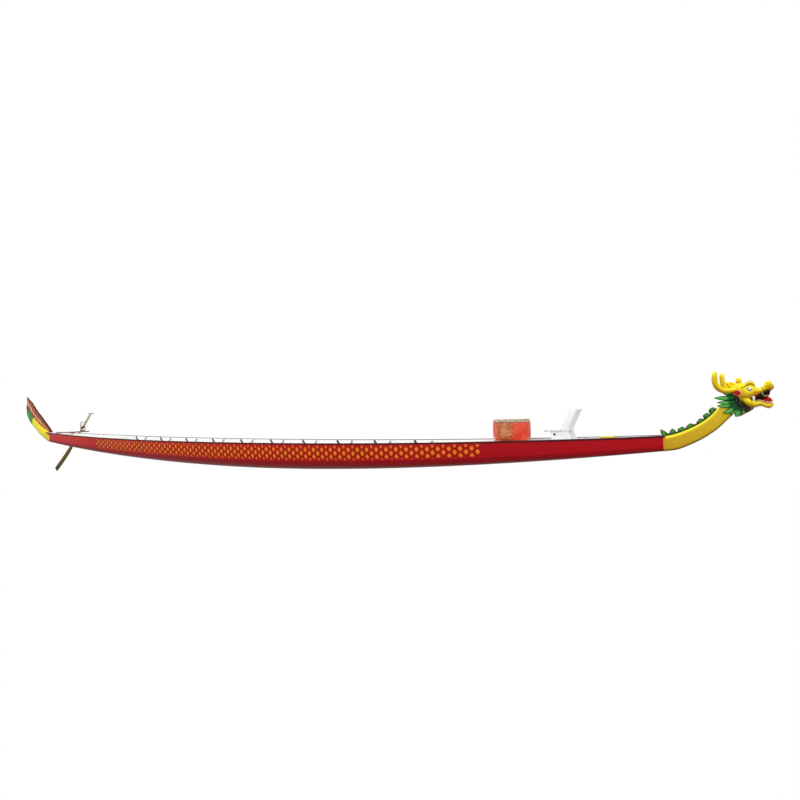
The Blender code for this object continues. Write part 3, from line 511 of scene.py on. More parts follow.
# polished gelcoat over glass fibre: deep, even red with a clear gloss and a very slight ripple
hullRed, add, finish = startMaterial("polished gelcoat with painted scales", "#B00F1B", 0.2, specular=0.12)
lengthwise = add("x")
depth = add("y", add("uv", uv_map="girth"))
column, row = (add(axis, add("uv", uv_map="scales")) for axis in "xy")
spots = []      # distance from the nearest scale's centre, 1 at its edge, in even and in odd rows
for sideways, down in ((0.5, 0.175), (1.0, -0.325)):
    across = gapTo(add, add("fract", add("add", column, sideways)), 0.5)
    upDown = gapTo(add, add("fract", add("multiply_add", row, 0.5, down)), 0.5)
    spots.append(add("add", add("power", add("divide", across, 0.20), 1.45),
                     add("power", add("divide", upDown, 0.37), 1.45)))
edgeFade = add("maximum", add("fade", depth, 0.12, 0.24, 1.0, 0.0), add("fade", depth, 0.84, 0.93))
spot = add("multiply", add("minimum", *spots), add("multiply_add", edgeFade, 0.7, 1.0))
scale = coats(add, "#E4641F", ("#EC8C30", spot, 0.1, 0.75, 1.0, 0.0),
              ("#C58A22", add("noise", 9.0, 2.0), 0.54, 0.66, 0.0, 0.6), ("#DC4A40", edgeFade))
# the scales' ground turns warmer toward the stern as painted reflection
ground = coats(add, "#C41C0E", ("#BE3A10", lengthwise, 1.5, -3.5))
scales = coats(add, scale, (coats(add, "#A01208", (ground, spot, 1.6, 2.4)), spot, 0.85, 1.2))
inside = add("multiply", add("greater_than", lengthwise, hullPattern["start"]),
             add("less_than", lengthwise, hullPattern["end"]))
band = add("multiply", inside, between(add, depth, 0.05, 0.07, 0.955, 0.98))
scuff = add("noise", 2.0, 6.0, Vector=add("stretched", (0.3, 1.0, 3.0)))
# the yellow of the tail runs onto the end of the hull in a rounded tongue, and the neck's a hand's width
bow = add("greater_than", lengthwise, 7.732)
tongue = add("multiply_add", add("power", add("subtract", add("z"), 0.405), 2.0), -10.3, -7.545)
yellow = add("maximum", add("less_than", lengthwise, tongue), bow)
# the red is painted lighter toward the stern as painted reflection
finish(Base_Color=coats(add, "#B00F1B", ("#CC2822", lengthwise, -3.5, -6.5), (scales, band),
                        # below the chine the red turns darker toward the keel: a darker bottom band, and also painted
                        # shade on the faces that turn under
                        ("#A00E18", depth, 0.985, 1.01), ("#920E14", depth, 1.2, 1.7),
                        ("#7C1C18", scuff, 0.55, 0.8, 0.0, 0.14),
                        *(("#3A0A0C", gapTo(add, lengthwise, x), 0.0015, 0.003, 0.35, 0.0)
                          for x in hullPattern["seams"]),
                        (coats(add, "#F4DC1C", ("#CBA213", bow)), yellow)),
       Normal=add("relief", add("noise", 22.0, 3.0), 0.10, 0.002),
       Roughness=add("fade", add("noise", 30.0, 4.0), 0.3, 0.7, 0.16, 0.28))

# brushed-out white gelcoat inside: paler gloss, faint roller marks, a little grey where feet rub
hullWhite = coated("rolled white gelcoat", "#FCFCFB", "#EBEBE8", 0.30, 90.0, (0.32, 0.46), 0.12, specular=0.5)

bm = bmesh.new()
girth, scaleGrid = bm.loops.layers.uv.new("girth"), bm.loops.layers.uv.new("scales")
stations, shares = [], []
chineIndex = hullForm["chinePoint"] * hullForm["sectionSteps"]
for i in range(hullForm["stations"] + 1):
    x = mixed(-hullForm["halfLength"], hullForm["halfLength"], i / hullForm["stations"])
    port = sectionAt(x)
    top, chine, keel = port[0].y, port[chineIndex].y, port[-1].y
    # 0 at the gunwale, 1 at the chine, 2 at the keel, by depth
    down = [(top - p.y) / (top - chine) if k <= chineIndex else 1.0 + (chine - p.y) / (chine - keel)
            for k, p in enumerate(port)]
    rowStep = hullPattern["rowStep"] * (1 - hullPattern["rowShrink"] * min(abs(x) / 5.0, 1.0) ** 2)
    shares.append((down + down[-2::-1], (top - chine) / rowStep))
    stations.append([bm.verts.new((x, p.x, p.y)) for p in port]
                    + [bm.verts.new((x, -p.x, p.y)) for p in reversed(port[:-1])])
for i, (near, far) in enumerate(zip(stations, stations[1:])):
    for k in range(len(near) - 1):
        face = bm.faces.new((near[k], far[k], far[k + 1], near[k + 1]))
        for loop, (row, point) in zip(face.loops, ((i, k), (i + 1, k), (i + 1, k + 1), (i, k + 1))):
            down, count = shares[row]
            x = loop.vert.co.x
            loop[girth].uv = (x, down[point])
            loop[scaleGrid].uv = ((x - hullPattern["lastColumn"]) / hullPattern["columnStep"] + 100.0,
                                  down[point] * count)
for ring in (stations[0], list(reversed(stations[-1]))):
    bm.faces.new(ring)
hull = makePiece("hull_skin", bm, hullRed, hullWhite)
wall = hull.modifiers.new("wall", "SOLIDIFY")
wall.thickness = hullForm["wall"]
wall.offset = -1.0
wall.use_even_offset = True
wall.material_offset = 1
wall.material_offset_rim = 1
settle(hull, "hull_gelcoat", "hull_stern", "hull_aft", "hull_middle", "hull_fore", "hull_bow", sharp=32.0)

trim = {
    "inboard": 0.014,
    "outboard": 0.012,
    "height": 0.008,
    "skirt": 0.018,
    "corner": 0.004,
    "stations": 180,
    "screwStep": 0.31,
    "screwsTo": 7.44,       # metres from amidships to the last screw
    "screwRadius": 0.0045,
    "screwHeight": 0.0018,
    "screwSink": 0.0019,    # how deep the head is let into the rubber
    "screwDrop": 0.006,     # below the gunwale
}

# extruded rubber: black with a breath of the hull's red, satin, chalky along the top
trimRubber = coated("extruded gunwale rubber", "#480E16", "#54242A", 0.5, 160.0, (0.42, 0.6), 0.2, 0.0005, 25.0, 0.2,
                    ior=1.52)

# turned stainless screw heads: cool grey, brushed by the driver
stainless, add, finish = startMaterial("turned stainless steel", "#A9ABA8", 0.34, 1.0)
finish(Roughness=add("fade", add("noise", 400.0, 2.0), 0.3, 0.7, 0.26, 0.44))

for side, word in bothSides:
    rings = []
    for i in range(trim["stations"] + 1):
        x = mixed(-hullForm["halfLength"], hullForm["halfLength"], i / trim["stations"]) * 0.9999
        edge, base = halfBeamAt(x), gunwaleAt(x)
        low, high = edge - trim["inboard"], edge + trim["outboard"]
        c, top, foot = trim["corner"], base + trim["height"], base - trim["skirt"]
        profile = ((low, top - c), (low + c * 0.3, top - c * 0.3), (low + c, top), (high - c, top),
                   (high - c * 0.3, top - c * 0.3), (high, top - c), (high, foot + c), (high - c * 0.5, foot + c * 0.3),
                   (high - c, foot), (edge + 0.001, foot), (edge + 0.001, base + 0.001), (low, base + 0.001))
        rings.append([(x, side * y, z) for y, z in profile])
    skinned("gunwale_rail_" + word, trimRubber, "gunwale_rubber", [rings], "gunwale_trim_" + word, sharp=50.0)
    places = []
    for i in range(int(2 * trim["screwsTo"] / trim["screwStep"]) + 1):
        x = -trim["screwsTo"] + i * trim["screwStep"]
        y = halfBeamAt(x) + trim["outboard"] - trim["screwSink"]
        places.append(((x, side * y, gunwaleAt(x) - trim["screwDrop"]), (0.0, side, 0.0)))
    spreadOn("rail_screws_" + word, places, domedHead, stainless, "lock_steel",
             headRadius=trim["screwRadius"], headHeight=trim["screwHeight"], headSides=12)
print("hull and gunwales stand")

# decks, bulkheads, keelson, benches
deck = {
    "bow": (4.85, 7.738),
    "stern": (-7.738, -4.89),
    "drop": 0.035,
    "thickness": 0.018,
    "stations": 40,
}

# moulded deck: white gelcoat with a fine grip texture, a little duller than the hull
deckWhite = coated("moulded deck with grip grain", "#FAFAF8", "#E6E6E2", 0.28, 420.0, (0.42, 0.6), 0.35, 0.0006,
                   specular=0.5)

for name in ("bow", "stern"):
    rings = []
    for i in range(deck["stations"] + 1):
        x = mixed(*deck[name], i / deck["stations"])
        top = gunwaleAt(x) - deck["drop"]
        low = top - deck["thickness"]
        upper, lower = innerHalfAt(x, top), innerHalfAt(x, low)
        rings.append([Vector((x, mixed(upper, -upper, k / 8), top)) for k in range(9)]
                     + [Vector((x, -lower, low)), Vector((x, lower, low))])
    skinned(name + "_deck_plate", deckWhite, "white_gelcoat", [rings], name + "_deck", sharp=40.0)
    softened(name + "_bulkhead_panel", name + "_bulkhead", hullWhite, 0.002, "white_gelcoat")

# sawn and varnished pine: warm brown, long grain along the beam, satin
pine, add, finish = startMaterial("varnished pine", "#B98A55", 0.42)
grain = add("noise", 14.0, 6.0, 0.6, Vector=add("stretched", (0.6, 9.0, 9.0)))
finish(Base_Color=coats(add, "#A87543", ("#CDA06A", grain, 0.35, 0.65)), Normal=add("relief", grain, 0.25, 0.0008))
for name in ("stern", "middle", "bow"):
    softened("keel_beam_" + name, "keelson_" + name, pine, 0.004, "varnished_wood")

benches = {
    "count": 10,
    "first": -4.36,
    "pitch": 0.903,
    "halfWidth": 0.12,
    "drop": 0.095,
    "kneeHalfWidth": 0.19,
    "kneeThickness": 0.018,
    "kneeDrop": 0.012,
    "sternShadeStrip": 0.022,    # half width of the black strip of painted shade on the stern side of a knee
    "bowShadeStrip": 0.010,
    "stripGap": 0.002,
    "boltAside": 0.07,      # from the middle of the board toward bow and stern
    "boltInboard": 0.055,   # from the hull's inside
    "boltRadius": 0.007,
    "boltHeight": 0.003,
}

# moulded seat: white gelcoat, polished by sitting along the middle
benchWhite = coated("moulded white bench", "#FBFBFA", "#ECECEA", 0.22, 60.0, (0.26, 0.42), 0.08, specular=0.5,
                    Coat_Weight=0.2)

# black rubber for the seat's bushes; strips of the same black, and of a grey, along the knees' slanted edges are
# painted shade
blackRubberAndShade = coated("black rubber and black painted shade", "#141214", "#2C2A2C", 0.4, 120.0, (0.42, 0.6), 0.2, 0.0005,
                   specular=0.5, ior=1.52)
greyShadeStrip = coated("grey painted shade", "#5E5E62", "#7C7C80", 0.5, 120.0, (0.46, 0.64), 0.2, 0.0005,
                  specular=0.5, ior=1.52)

bolts = []
shadeStrips = {-1: [], 1: []}       # toward the stern and toward the bow
for i in range(benches["count"]):
    number = f"{i + 1:02d}"
    softened("seat_board_" + number, "bench_" + number, benchWhite, 0.004, "white_gelcoat")
    x = benches["first"] + i * benches["pitch"]
    boardTop = gunwaleAt(x) - benches["drop"]
    kneeTop = gunwaleAt(x) - benches["kneeDrop"]
    for way, half in ((-1, benches["sternShadeStrip"]), (1, benches["bowShadeStrip"])):
        for side in (1, -1):
            y = side * (innerHalfAt(x, boardTop) - benches["boltInboard"])
            bolts.append(((x + way * benches["boltAside"], y, boardTop + 0.0004), (0.0, 0.0, 1.0)))
        # along each knee's slanted edges lies a strip of painted shade, wide and black on the stern side, thin and grey
        # on the bow side
        boardX, kneeX = x + way * benches["halfWidth"], x + way * benches["kneeHalfWidth"]
        foot = innerHalfAt(boardX, boardTop) - benches["kneeThickness"] - benches["stripGap"]
        head = innerHalfAt(kneeX, kneeTop) - benches["kneeThickness"] - benches["stripGap"]
        path = smoothRows([(mixed(boardX, kneeX, t), mixed(foot, head, t), mixed(boardTop, kneeTop, t) - 0.002 * t,
                            half) for t in (0, 0.5, 1)], 3)
        shadeStrips[way] += [tubeRings(p, 8, 0.35) for p in mirrored(path)]
spreadOn("bench_bolts", bolts, domedHead, stainless, "lock_steel",
         headRadius=benches["boltRadius"], headHeight=benches["boltHeight"], headSides=12)
skinned("knee_shade_stern", blackRubberAndShade, "gunwale_rubber", shadeStrips[-1])
skinned("knee_shade_bow", greyShadeStrip, "gunwale_rubber", shadeStrips[1])
print("decks and benches stand")

# bow board and drum
# brushed gloss paint on a board: lemon yellow, thin brush marks across, worn at the edges
boardYellow = coated("brushed yellow paint on a board", "#DCC93C", "#BBA32A", 0.4, 45.0, (0.28, 0.42))
softened("bow_step", "bow_board", boardYellow, 0.005, "yellow_paint")
softened("drum_cradle", "drum_stand", pine, 0.004, "varnished_wood")

drum = {
    "x": 5.57,
    "bottom": 0.475,
    "top": 0.800,
    "endRadius": 0.272,
    "waistRadius": 0.2935,
    "sides": 96,
    "hideSkirt": 0.050,
    "hideThickness": 0.0025,
    "rim": ((0.001, 0.008), (0.005, 0.003), (0.013, 0.0004)),   # inward and down from the head's edge
    "tackCount": 56,
    "tackRows": (0.022, 0.040),     # below the head
    "tackRadius": 0.0068,
    "tackHeight": 0.0035,
    "blossoms": 3,
    "firstBlossom": 0.735,   # share of the way round from the bow side
    "blossomSize": 0.055,
}

# sprayed lacquer on coopered wood: bright orange red, glossy, with gilded blossoms among thin scrolls
drumRed, add, finish = startMaterial("red lacquer with gilding", "#E04A30", 0.2, specular=0.35, Coat_Weight=0.15,
                                     Coat_Roughness=0.08)
around, up = (add(axis, add("uv", uv_map="wrap")) for axis in "xy")
turn = add("multiply_add", add("subtract", around, drum["firstBlossom"] - 1.0), float(drum["blossoms"]), 0.5)
flat = add("multiply", add("subtract", add("fract", turn), 0.5), 1.84 / drum["blossoms"])
rise = add("multiply", add("subtract", up, 0.47), 0.30)
lobes = add("cosine", add("multiply", add("arctan2", rise, flat), 6.0))
edge = add("divide", distance(add, flat, rise),
           add("multiply_add", lobes, drum["blossomSize"] * 0.15, drum["blossomSize"]))
rings = add("maximum", between(add, edge, 0.84, 0.90, 0.98, 1.04), between(add, edge, 0.46, 0.52, 0.62, 0.70))
rings = add("maximum", rings, add("fade", edge, 0.20, 0.28, 1.0, 0.0))
line = gapTo(add, add("fract", add("multiply", add("noise", 14.0, 1.5), 9.0)), 0.5)
scroll = add("multiply", add("fade", line, 0.10, 0.18, 1.0, 0.0), add("fade", edge, 1.05, 1.15))
aside = add("absolute", flat)
near = add("multiply", add("fade", aside, 0.06, 0.21, 0.9, 0.0), between(add, up, 0.06, 0.12, 0.80, 0.88))
gilt = add("multiply", add("maximum", rings, add("multiply", scroll, near)),
           add("fade", add("noise", 55.0, 4.0), 0.26, 0.46))
finish(Base_Color=coats(add, "#E43C1E", ("#F05A32", add("noise", 6.0, 3.0), 0.4, 0.65),
                        ("#A03E18", aside, 0.05, 0.21, 0.75, 0.0), ("#E8C27C", gilt)),
       Metallic=add("multiply", gilt, 0.35), Roughness=add("fade", gilt, 0.0, 1.0, 0.18, 0.38),
       Normal=add("relief", gilt, 0.3, 0.0008))

# stretched and scraped cowhide: cream, mottled, matt, brown where it is pulled over the rim
hide, add, finish = startMaterial("scraped cowhide", "#E4D8BC", 0.6, ior=1.45, Sheen_Weight=0.1)
mottled, high, top = add("noise", 18.0, 6.0, 0.6), add("z"), drum["top"]
skirted = add("fade", high, top - 0.003, top - 0.009)
blots = add("fade", add("noise", 34.0, 2.0), 0.36, 0.52, 0.0, 0.8)
hem = add("maximum", add("fade", high, top - 0.040, top - 0.046),
          add("multiply", skirted, add("fade", high, top - 0.016, top - 0.010)))
finish(Base_Color=coats(add, "#ECE2CC", ("#CDB892", mottled, 0.35, 0.7),
                        ("#7A5A3C", add("multiply", skirted, blots)), ("#3E2A18", add("multiply", hem, 0.8))),
       Normal=add("relief", mottled, 0.3, 0.0008))

# turned bone tacks: cream domes, waxed, a little uneven
bone = coated("turned bone", "#E9DEC8", "#C2A67E", 0.5, 200.0, (0.3, 0.45))


def barrelRadius(z):
    middle = (drum["bottom"] + drum["top"] - 0.012) / 2
    share = min(abs(z - middle) / (middle - drum["bottom"]), 1.0)
    return mixed(drum["waistRadius"], drum["endRadius"], share ** 5)


def latheRings(profile):
    return [[Vector((drum["x"] + r * c, r * s, z)) for c, s in circle(drum["sides"])] for r, z in profile]


heights = [mixed(drum["bottom"], drum["top"] - 0.0125, i / 24) for i in range(25)]
skinned("drum_barrel", drumRed, "drum_lacquer", [latheRings([(barrelRadius(z), z) for z in heights])], "drum_body",
        uv="wrap", sharp=50.0)

end, low = drum["endRadius"], drum["top"] - drum["hideSkirt"]
hidden = [(barrelRadius(low) + 0.0003, low)]
hidden += [(barrelRadius(z) + drum["hideThickness"], z) for z in (mixed(low, top - 0.013, i / 5) for i in range(6))]
hidden += [(end - inward, top - down) for inward, down in drum["rim"]]
hidden += [(end * share, top - 0.0002) for share in (0.85, 0.6, 0.3, 0.06)]
skinned("drum_hide", hide, "drum_hide", [latheRings(hidden)], "drum_skin")

tacks = []
for k in range(2 * drum["tackCount"]):
    angle = math.pi * (k + k % 2) / drum["tackCount"]
    z = top - drum["tackRows"][k % 2]
    reach = barrelRadius(z) + drum["hideThickness"]
    c, s = math.cos(angle), math.sin(angle)
    tacks.append(((drum["x"] + reach * c, reach * s, z), (c, s, 0.0)))
spreadOn("drum_tacks", tacks, domedHead, bone, "drum_lacquer",
         headRadius=drum["tackRadius"], headHeight=drum["tackHeight"], headSides=12)
print("drum stands")

# rotation-moulded polyethylene: soft white, eggshell gloss with a fine pebble
seatWhite = coated("moulded white polyethylene", "#FAFAFA", "#E4E4E4", 0.2, 300.0, (0.34, 0.48), 0.12, 0.0004,
                   specular=0.3, Subsurface_Weight=0.05)
for name, width in (("pan", 0.005), ("back", 0.006), ("side_port", 0.004), ("side_starboard", 0.004),
                    ("front_panel", 0.003)):
    softened("drummer_seat_" + name, "seat_" + name, seatWhite, width, "seat_plastic", 3)

bush = {
    "x": 6.280,
    "y": 0.170,
    "z": 0.566,
    "radius": 0.0175,
    "lip": 0.0035,
    # aside and radius of the disc that fills it
    "disc": ((-0.004, 0.004), (-0.004, 0.0150), (0.004, 0.0150), (0.004, 0.004)),
}


def hoopRings(x, y, z, wide, high, radius, steps, points):
    return tubeRings([(x + wide * c, y, z + high * s, radius) for c, s in circle(steps, 1)], points)


def hooped(name, paint, slot, hoops, merge, discs=()):
    # hoops closed on themselves, and discs inside them
    bm = bmesh.new()
    for rings in hoops:
        skinRings(bm, rings, capEnds=False)
    for rings in discs:
        skinRings(bm, rings)
    bmesh.ops.remove_doubles(bm, verts=bm.verts, dist=merge)
    bmesh.ops.recalc_face_normals(bm, faces=bm.faces)
    settle(makePiece(name, bm, paint), slot)


# rubber bush in the holes of the seat's sides
hoops, discs = [], []
reach = bush["radius"] - bush["lip"]
for y in (bush["y"], -bush["y"]):
    hoops.append(hoopRings(bush["x"], y, bush["z"], reach, reach, bush["lip"], 32, 8))
    discs.append([[Vector((bush["x"] + r * c, y + aside, bush["z"] + r * s)) for c, s in circle(32)]
                  for aside, r in bush["disc"]])
hooped("seat_bushes", blackRubberAndShade, "gunwale_rubber", hoops, 0.00002, discs)
print("seat stands")

# gloss enamel on carved and filled timber: strong yellow on faces that look up as painted light, ochre on faces that
# look down and on the cheeks as painted shade
dragonYellow, add, finish = startMaterial("yellow enamel on carving", "#F3DC1C", 0.26, specular=0.2)
up = add("z", add("normal"))
# the cheeks, low on the head and turned from the light, are painted ochre as painted shade
cheekShade = add("multiply", add("fade", add("z"), 1.18, 1.06, 0.0, 0.55), add("fade", up, 0.5, 0.1))
finish(Base_Color=coats(add, "#CC9410", ("#FAEA10", up, -0.55, 0.45), ("#DCB416", cheekShade),
                        ("#DDA613", add("noise", 12.0, 4.0), 0.5, 0.75, 0.0, 0.25)),
       Normal=add("relief", add("noise", 35.0, 3.0), 0.18, 0.0015))

# the same enamel mixed with ochre on the neck's sides, lighter toward the top; faces that look up are painted bright
# yellow as painted light, faces that look down dark as painted shade
neckOchre, add, finish = startMaterial("ochre enamel on the neck", "#CFA313", 0.28, specular=0.3)
up = add("z", add("normal"))
finish(Base_Color=coats(add, "#CDA410", ("#DAB814", add("z"), 0.45, 0.90),
                        ("#B98B0E", add("noise", 5.0, 5.0), 0.45, 0.75, 0.0, 0.3),
                        # painted light on faces that look up, painted shade on faces that look down
                        ("#F6E714", up, 0.10, 0.45), ("#7E5A0A", up, -0.15, -0.6)),
       Normal=add("relief", add("noise", 30.0, 3.0), 0.15))

# gloss enamels brushed on by hand
mouthRed = coated("red enamel", "#BE0C16", "#8C0A14", 0.4, 50.0, (0.28, 0.4), specular=0.12)
# the near-black in the open mouth is painted shade
mouthShade = coated("near-black painted shade in the mouth", "#1A0605", "#340C08", 0.5, 40.0, (0.5, 0.65), specular=0.08)
lineDark = coated("dark green lining enamel", "#1C2A1A", "#33401E", 0.5, 60.0, (0.25, 0.4))
lineBrown = coated("brown lining enamel", "#5C3A12", "#7C5618", 0.5, 60.0, (0.25, 0.4))
paletteOchre = coated("olive ochre enamel", "#B8A24A", "#8A6A2A", 0.4, 60.0)
toothWhite = coated("white enamel", "#F7F2E8", "#E3D3BC", 0.25, 80.0, (0.14, 0.24))
gumPink = coated("pink enamel on gums", "#E8B4A6", "#D08A7C", 0.4, 60.0, (0.18, 0.3))
# cream for the small curls set in some curls, as painted highlights
creamHighlight = coated("cream enamel", "#F0E0A0", "#DDBB66", 0.4, 60.0, (0.18, 0.3))
curlDark = coated("bottle green enamel under the curls", "#0A0F0B", "#1A2415", 0.6, 60.0, (0.5, 0.65), specular=0.08)
# the curls' wire is flecked grey by noise as painted highlights
curlHighlighted = coated("bottle green enamel rubbed grey on the curls", "#10170F", "#485040", 0.3, 60.0, (0.4, 0.55),
                 specular=0.10)
crestBase = coated("umber ground under the feathers", "#5A2A18", "#3A1A12", 0.5, 40.0, (0.3, 0.42))
maneGreen = paintAlong("green enamel on leaves", "#0F5224", "#2C8A3A", "#0A2010", 0.15, 0.7, 0.31, "#62B454")
spineGreen = paintAlong("dark green enamel on spines", "#2A5A26", "#4A6A2C", "#4A2E1C", 0.1, 0.8, 0.32, "#4C8A36")
leafRusset = paintAlong("russet enamel on leaves", "#7A4A20", "#B0702E", "#2A180C", 0.1, 0.8, 0.32)
featherRose = paintAlong("rose enamel on feathers", "#C0402E", "#DC6A52", "#4A1E12", 0.0, 0.8, 0.42, "#F4C8B8")
featherOlive = paintAlong("olive enamel on feathers", "#5E4A20", "#6E5A26", "#2A1C10", 0.0, 0.8, 0.40, "#B4502E")

neck = {
    # top edge x and z, bottom edge x and z, half width
    "rows": ((7.7506, 0.540, 7.7506, 0.337, 0.097), (7.904, 0.582, 7.900, 0.362, 0.095),
             (8.050, 0.646, 8.075, 0.440, 0.091), (8.168, 0.712, 8.225, 0.525, 0.088),
             (8.289, 0.806, 8.375, 0.640, 0.086), (8.374, 0.906, 8.480, 0.750, 0.085),
             (8.435, 0.994, 8.575, 0.850, 0.085), (8.505, 1.084, 8.655, 0.955, 0.088)),
    "squareness": 5.0,
}
skinned("dragon_neck", neckOchre, "ochre_paint", [ringsOf(neck["rows"], 6, neck["squareness"], 48)], "neck", uv="girth")


def neckTopAt(x):
    rows = smoothRows(neck["rows"], 6)
    a, b = next((pair for pair in zip(rows, rows[1:]) if x <= pair[1][0]), rows[-2:])
    return mixed(a[1], b[1], (x - a[0]) / (b[0] - a[0]))


spines = {
    # tip x and z, front foot x, half width
    "rows": ((7.690, 0.634, 7.822, 0.034), (7.836, 0.646, 7.912, 0.042), (7.959, 0.672, 8.020, 0.050),
             (8.045, 0.712, 8.135, 0.056), (8.168, 0.778, 8.252, 0.050), (8.263, 0.856, 8.312, 0.044),
             (8.334, 0.930, 8.368, 0.040)),
    "halfThickness": 0.010,
    "limit": 7.676,         # the farthest astern that a tip may reach
    "ridge": (7.757, 8.372, 0.009, 0.024),      # start, end, half thickness, height
}
bm = bmesh.new()
for tipX, tipZ, frontX, half in spines["rows"]:
    x = (frontX + max(frontX - 2.1 * half, spines["ridge"][0])) / 2
    skinRings(bm, leafRings((x, 0.0, neckTopAt(x) - 0.004), (max(tipX, spines["limit"]), 0.0, tipZ), half,
                            spines["halfThickness"], 0.012, 12, 14, 1.0), "leaf")
first = len(bm.faces)
start, end, half, height = spines["ridge"]
skinRings(bm, [ringBetween((x - 0.006, neckTopAt(x) + height), (x, neckTopAt(x) - 0.006), half, 2.4, 12)
               for x in (mixed(start, end, i / 40) for i in range(41))], "leaf")
bm.faces.ensure_lookup_table()
for face in bm.faces[first:]:
    face.material_index = 1
settle(makePiece("dorsal_spines", bm, spineGreen, lineDark), "spine_green", "neck_spines")

head = {
    # top edge x and z, bottom edge x and z, half width
    "skull": ((8.505, 1.084, 8.655, 0.955, 0.088), (8.540, 1.185, 8.690, 0.985, 0.108),
              (8.590, 1.226, 8.715, 1.000, 0.124), (8.640, 1.238, 8.735, 1.010, 0.130),
              (8.700, 1.232, 8.752, 1.030, 0.128), (8.755, 1.230, 8.775, 1.045, 0.122),
              (8.800, 1.196, 8.808, 1.064, 0.110), (8.835, 1.170, 8.842, 1.083, 0.098),
              (8.868, 1.172, 8.872, 1.098, 0.092), (8.893, 1.205, 8.895, 1.112, 0.090),
              (8.915, 1.240, 8.918, 1.123, 0.089), (8.945, 1.256, 8.945, 1.130, 0.086),
              (8.972, 1.246, 8.972, 1.136, 0.074), (8.990, 1.215, 8.990, 1.142, 0.056),
              (8.999, 1.190, 9.000, 1.152, 0.034)),
    "jaw": ((8.645, 1.050, 8.655, 1.010, 0.085), (8.675, 1.062, 8.680, 0.960, 0.112),
            (8.715, 1.058, 8.718, 0.928, 0.122), (8.755, 1.030, 8.760, 0.912, 0.118),
            (8.795, 1.003, 8.795, 0.914, 0.108), (8.840, 1.003, 8.835, 0.929, 0.098),
            (8.880, 0.989, 8.872, 0.930, 0.092), (8.920, 0.970, 8.915, 0.908, 0.086),
            (8.955, 0.964, 8.948, 0.902, 0.076), (8.982, 0.978, 8.978, 0.920, 0.058),
            (8.994, 0.970, 8.995, 0.945, 0.035)),
    "tongue": ((8.790, 1.010, 8.790, 0.988, 0.034), (8.850, 1.020, 8.850, 0.985, 0.044),
               (8.900, 1.034, 8.905, 0.985, 0.046), (8.936, 1.048, 8.945, 0.984, 0.044),
               (8.966, 1.035, 8.972, 0.984, 0.036), (8.986, 1.006, 8.986, 0.986, 0.022)),
    "hollow": ((8.735, 1.035, 8.735, 0.995, 0.050), (8.790, 1.060, 8.795, 0.995, 0.060),
               (8.850, 1.094, 8.856, 1.000, 0.058), (8.900, 1.124, 8.900, 1.010, 0.055),
               (8.945, 1.138, 8.940, 1.050, 0.050), (8.962, 1.136, 8.958, 1.085, 0.040)),
    "squareness": 2.6,
    # dents and swellings of the carving: centre x, y, z, reach, height
    "carving": ((8.745, 0.124, 1.153, 0.036, -0.014), (8.700, 0.122, 1.085, 0.040, 0.008),
                (8.955, 0.078, 1.215, 0.024, 0.010), (8.905, 0.088, 1.170, 0.020, -0.008),
                (8.840, 0.096, 1.125, 0.026, 0.006), (8.800, 0.105, 1.090, 0.018, -0.006),
                (8.735, 0.118, 0.975, 0.034, 0.007), (8.930, 0.080, 0.935, 0.024, 0.006)),
}


def carved(name, part, points, paint, slot, node):
    rings = ringsOf(head[part], 7, head["squareness"], points)
    for point in (point for ring in rings for point in ring):
        way = 1 if point.y > 0 else -1
        for x, y, z, reach, height in head["carving"]:
            gap = (point - Vector((x, way * y, z))).length / reach
            if gap < 2.5 and abs(point.y) > 0.02:
                point.y += way * height * math.exp(-gap * gap)
    return skinned(name, paint, slot, [rings], node, uv="girth")


carved("dragon_tongue", "tongue", 28, mouthRed, "mouth_red", "tongue")
surfaces = []
for row in (("dragon_skull", "skull", 64, dragonYellow, "dragon_yellow", "head_skull"),
            ("dragon_jaw", "jaw", 56, dragonYellow, "dragon_yellow", "head_lower_jaw")):
    mesh = carved(*row).data
    surfaces.append(BVHTree.FromPolygons([v.co.copy() for v in mesh.vertices],
                                         [tuple(p.vertices) for p in mesh.polygons]))
# a near-black body fills the open mouth as painted shade
skinned("mouth_shade", mouthShade, "mouth_red", [ringsOf(head["hollow"], 5, 3.0, 24)])


def onHead(x, z, side, fallback):
    # y of the head's surface at x, z, seen from that side
    hits = [surface.ray_cast(Vector((x, side * 0.4, z)), Vector((0, -side, 0)))[0] for surface in surfaces]
    return max((abs(hit.y) for hit in hits if hit and hit.y * side > 0), default=fallback)


def strokeRings(points, radius, side):
    # a painted line with its own body, laid on the head; thin at both ends
    rows = smoothRows(points, 6)
    path, y = [], 0.09
    for i, (x, z) in enumerate(rows):
        y = onHead(x, z, side, y)
        taper = 0.35 + 0.65 * math.sin(math.pi * min(max(i / (len(rows) - 1), 0.04), 0.96)) ** 0.6
        path.append((x, side * y, z, radius * taper))
    return tubeRings(path, 10)


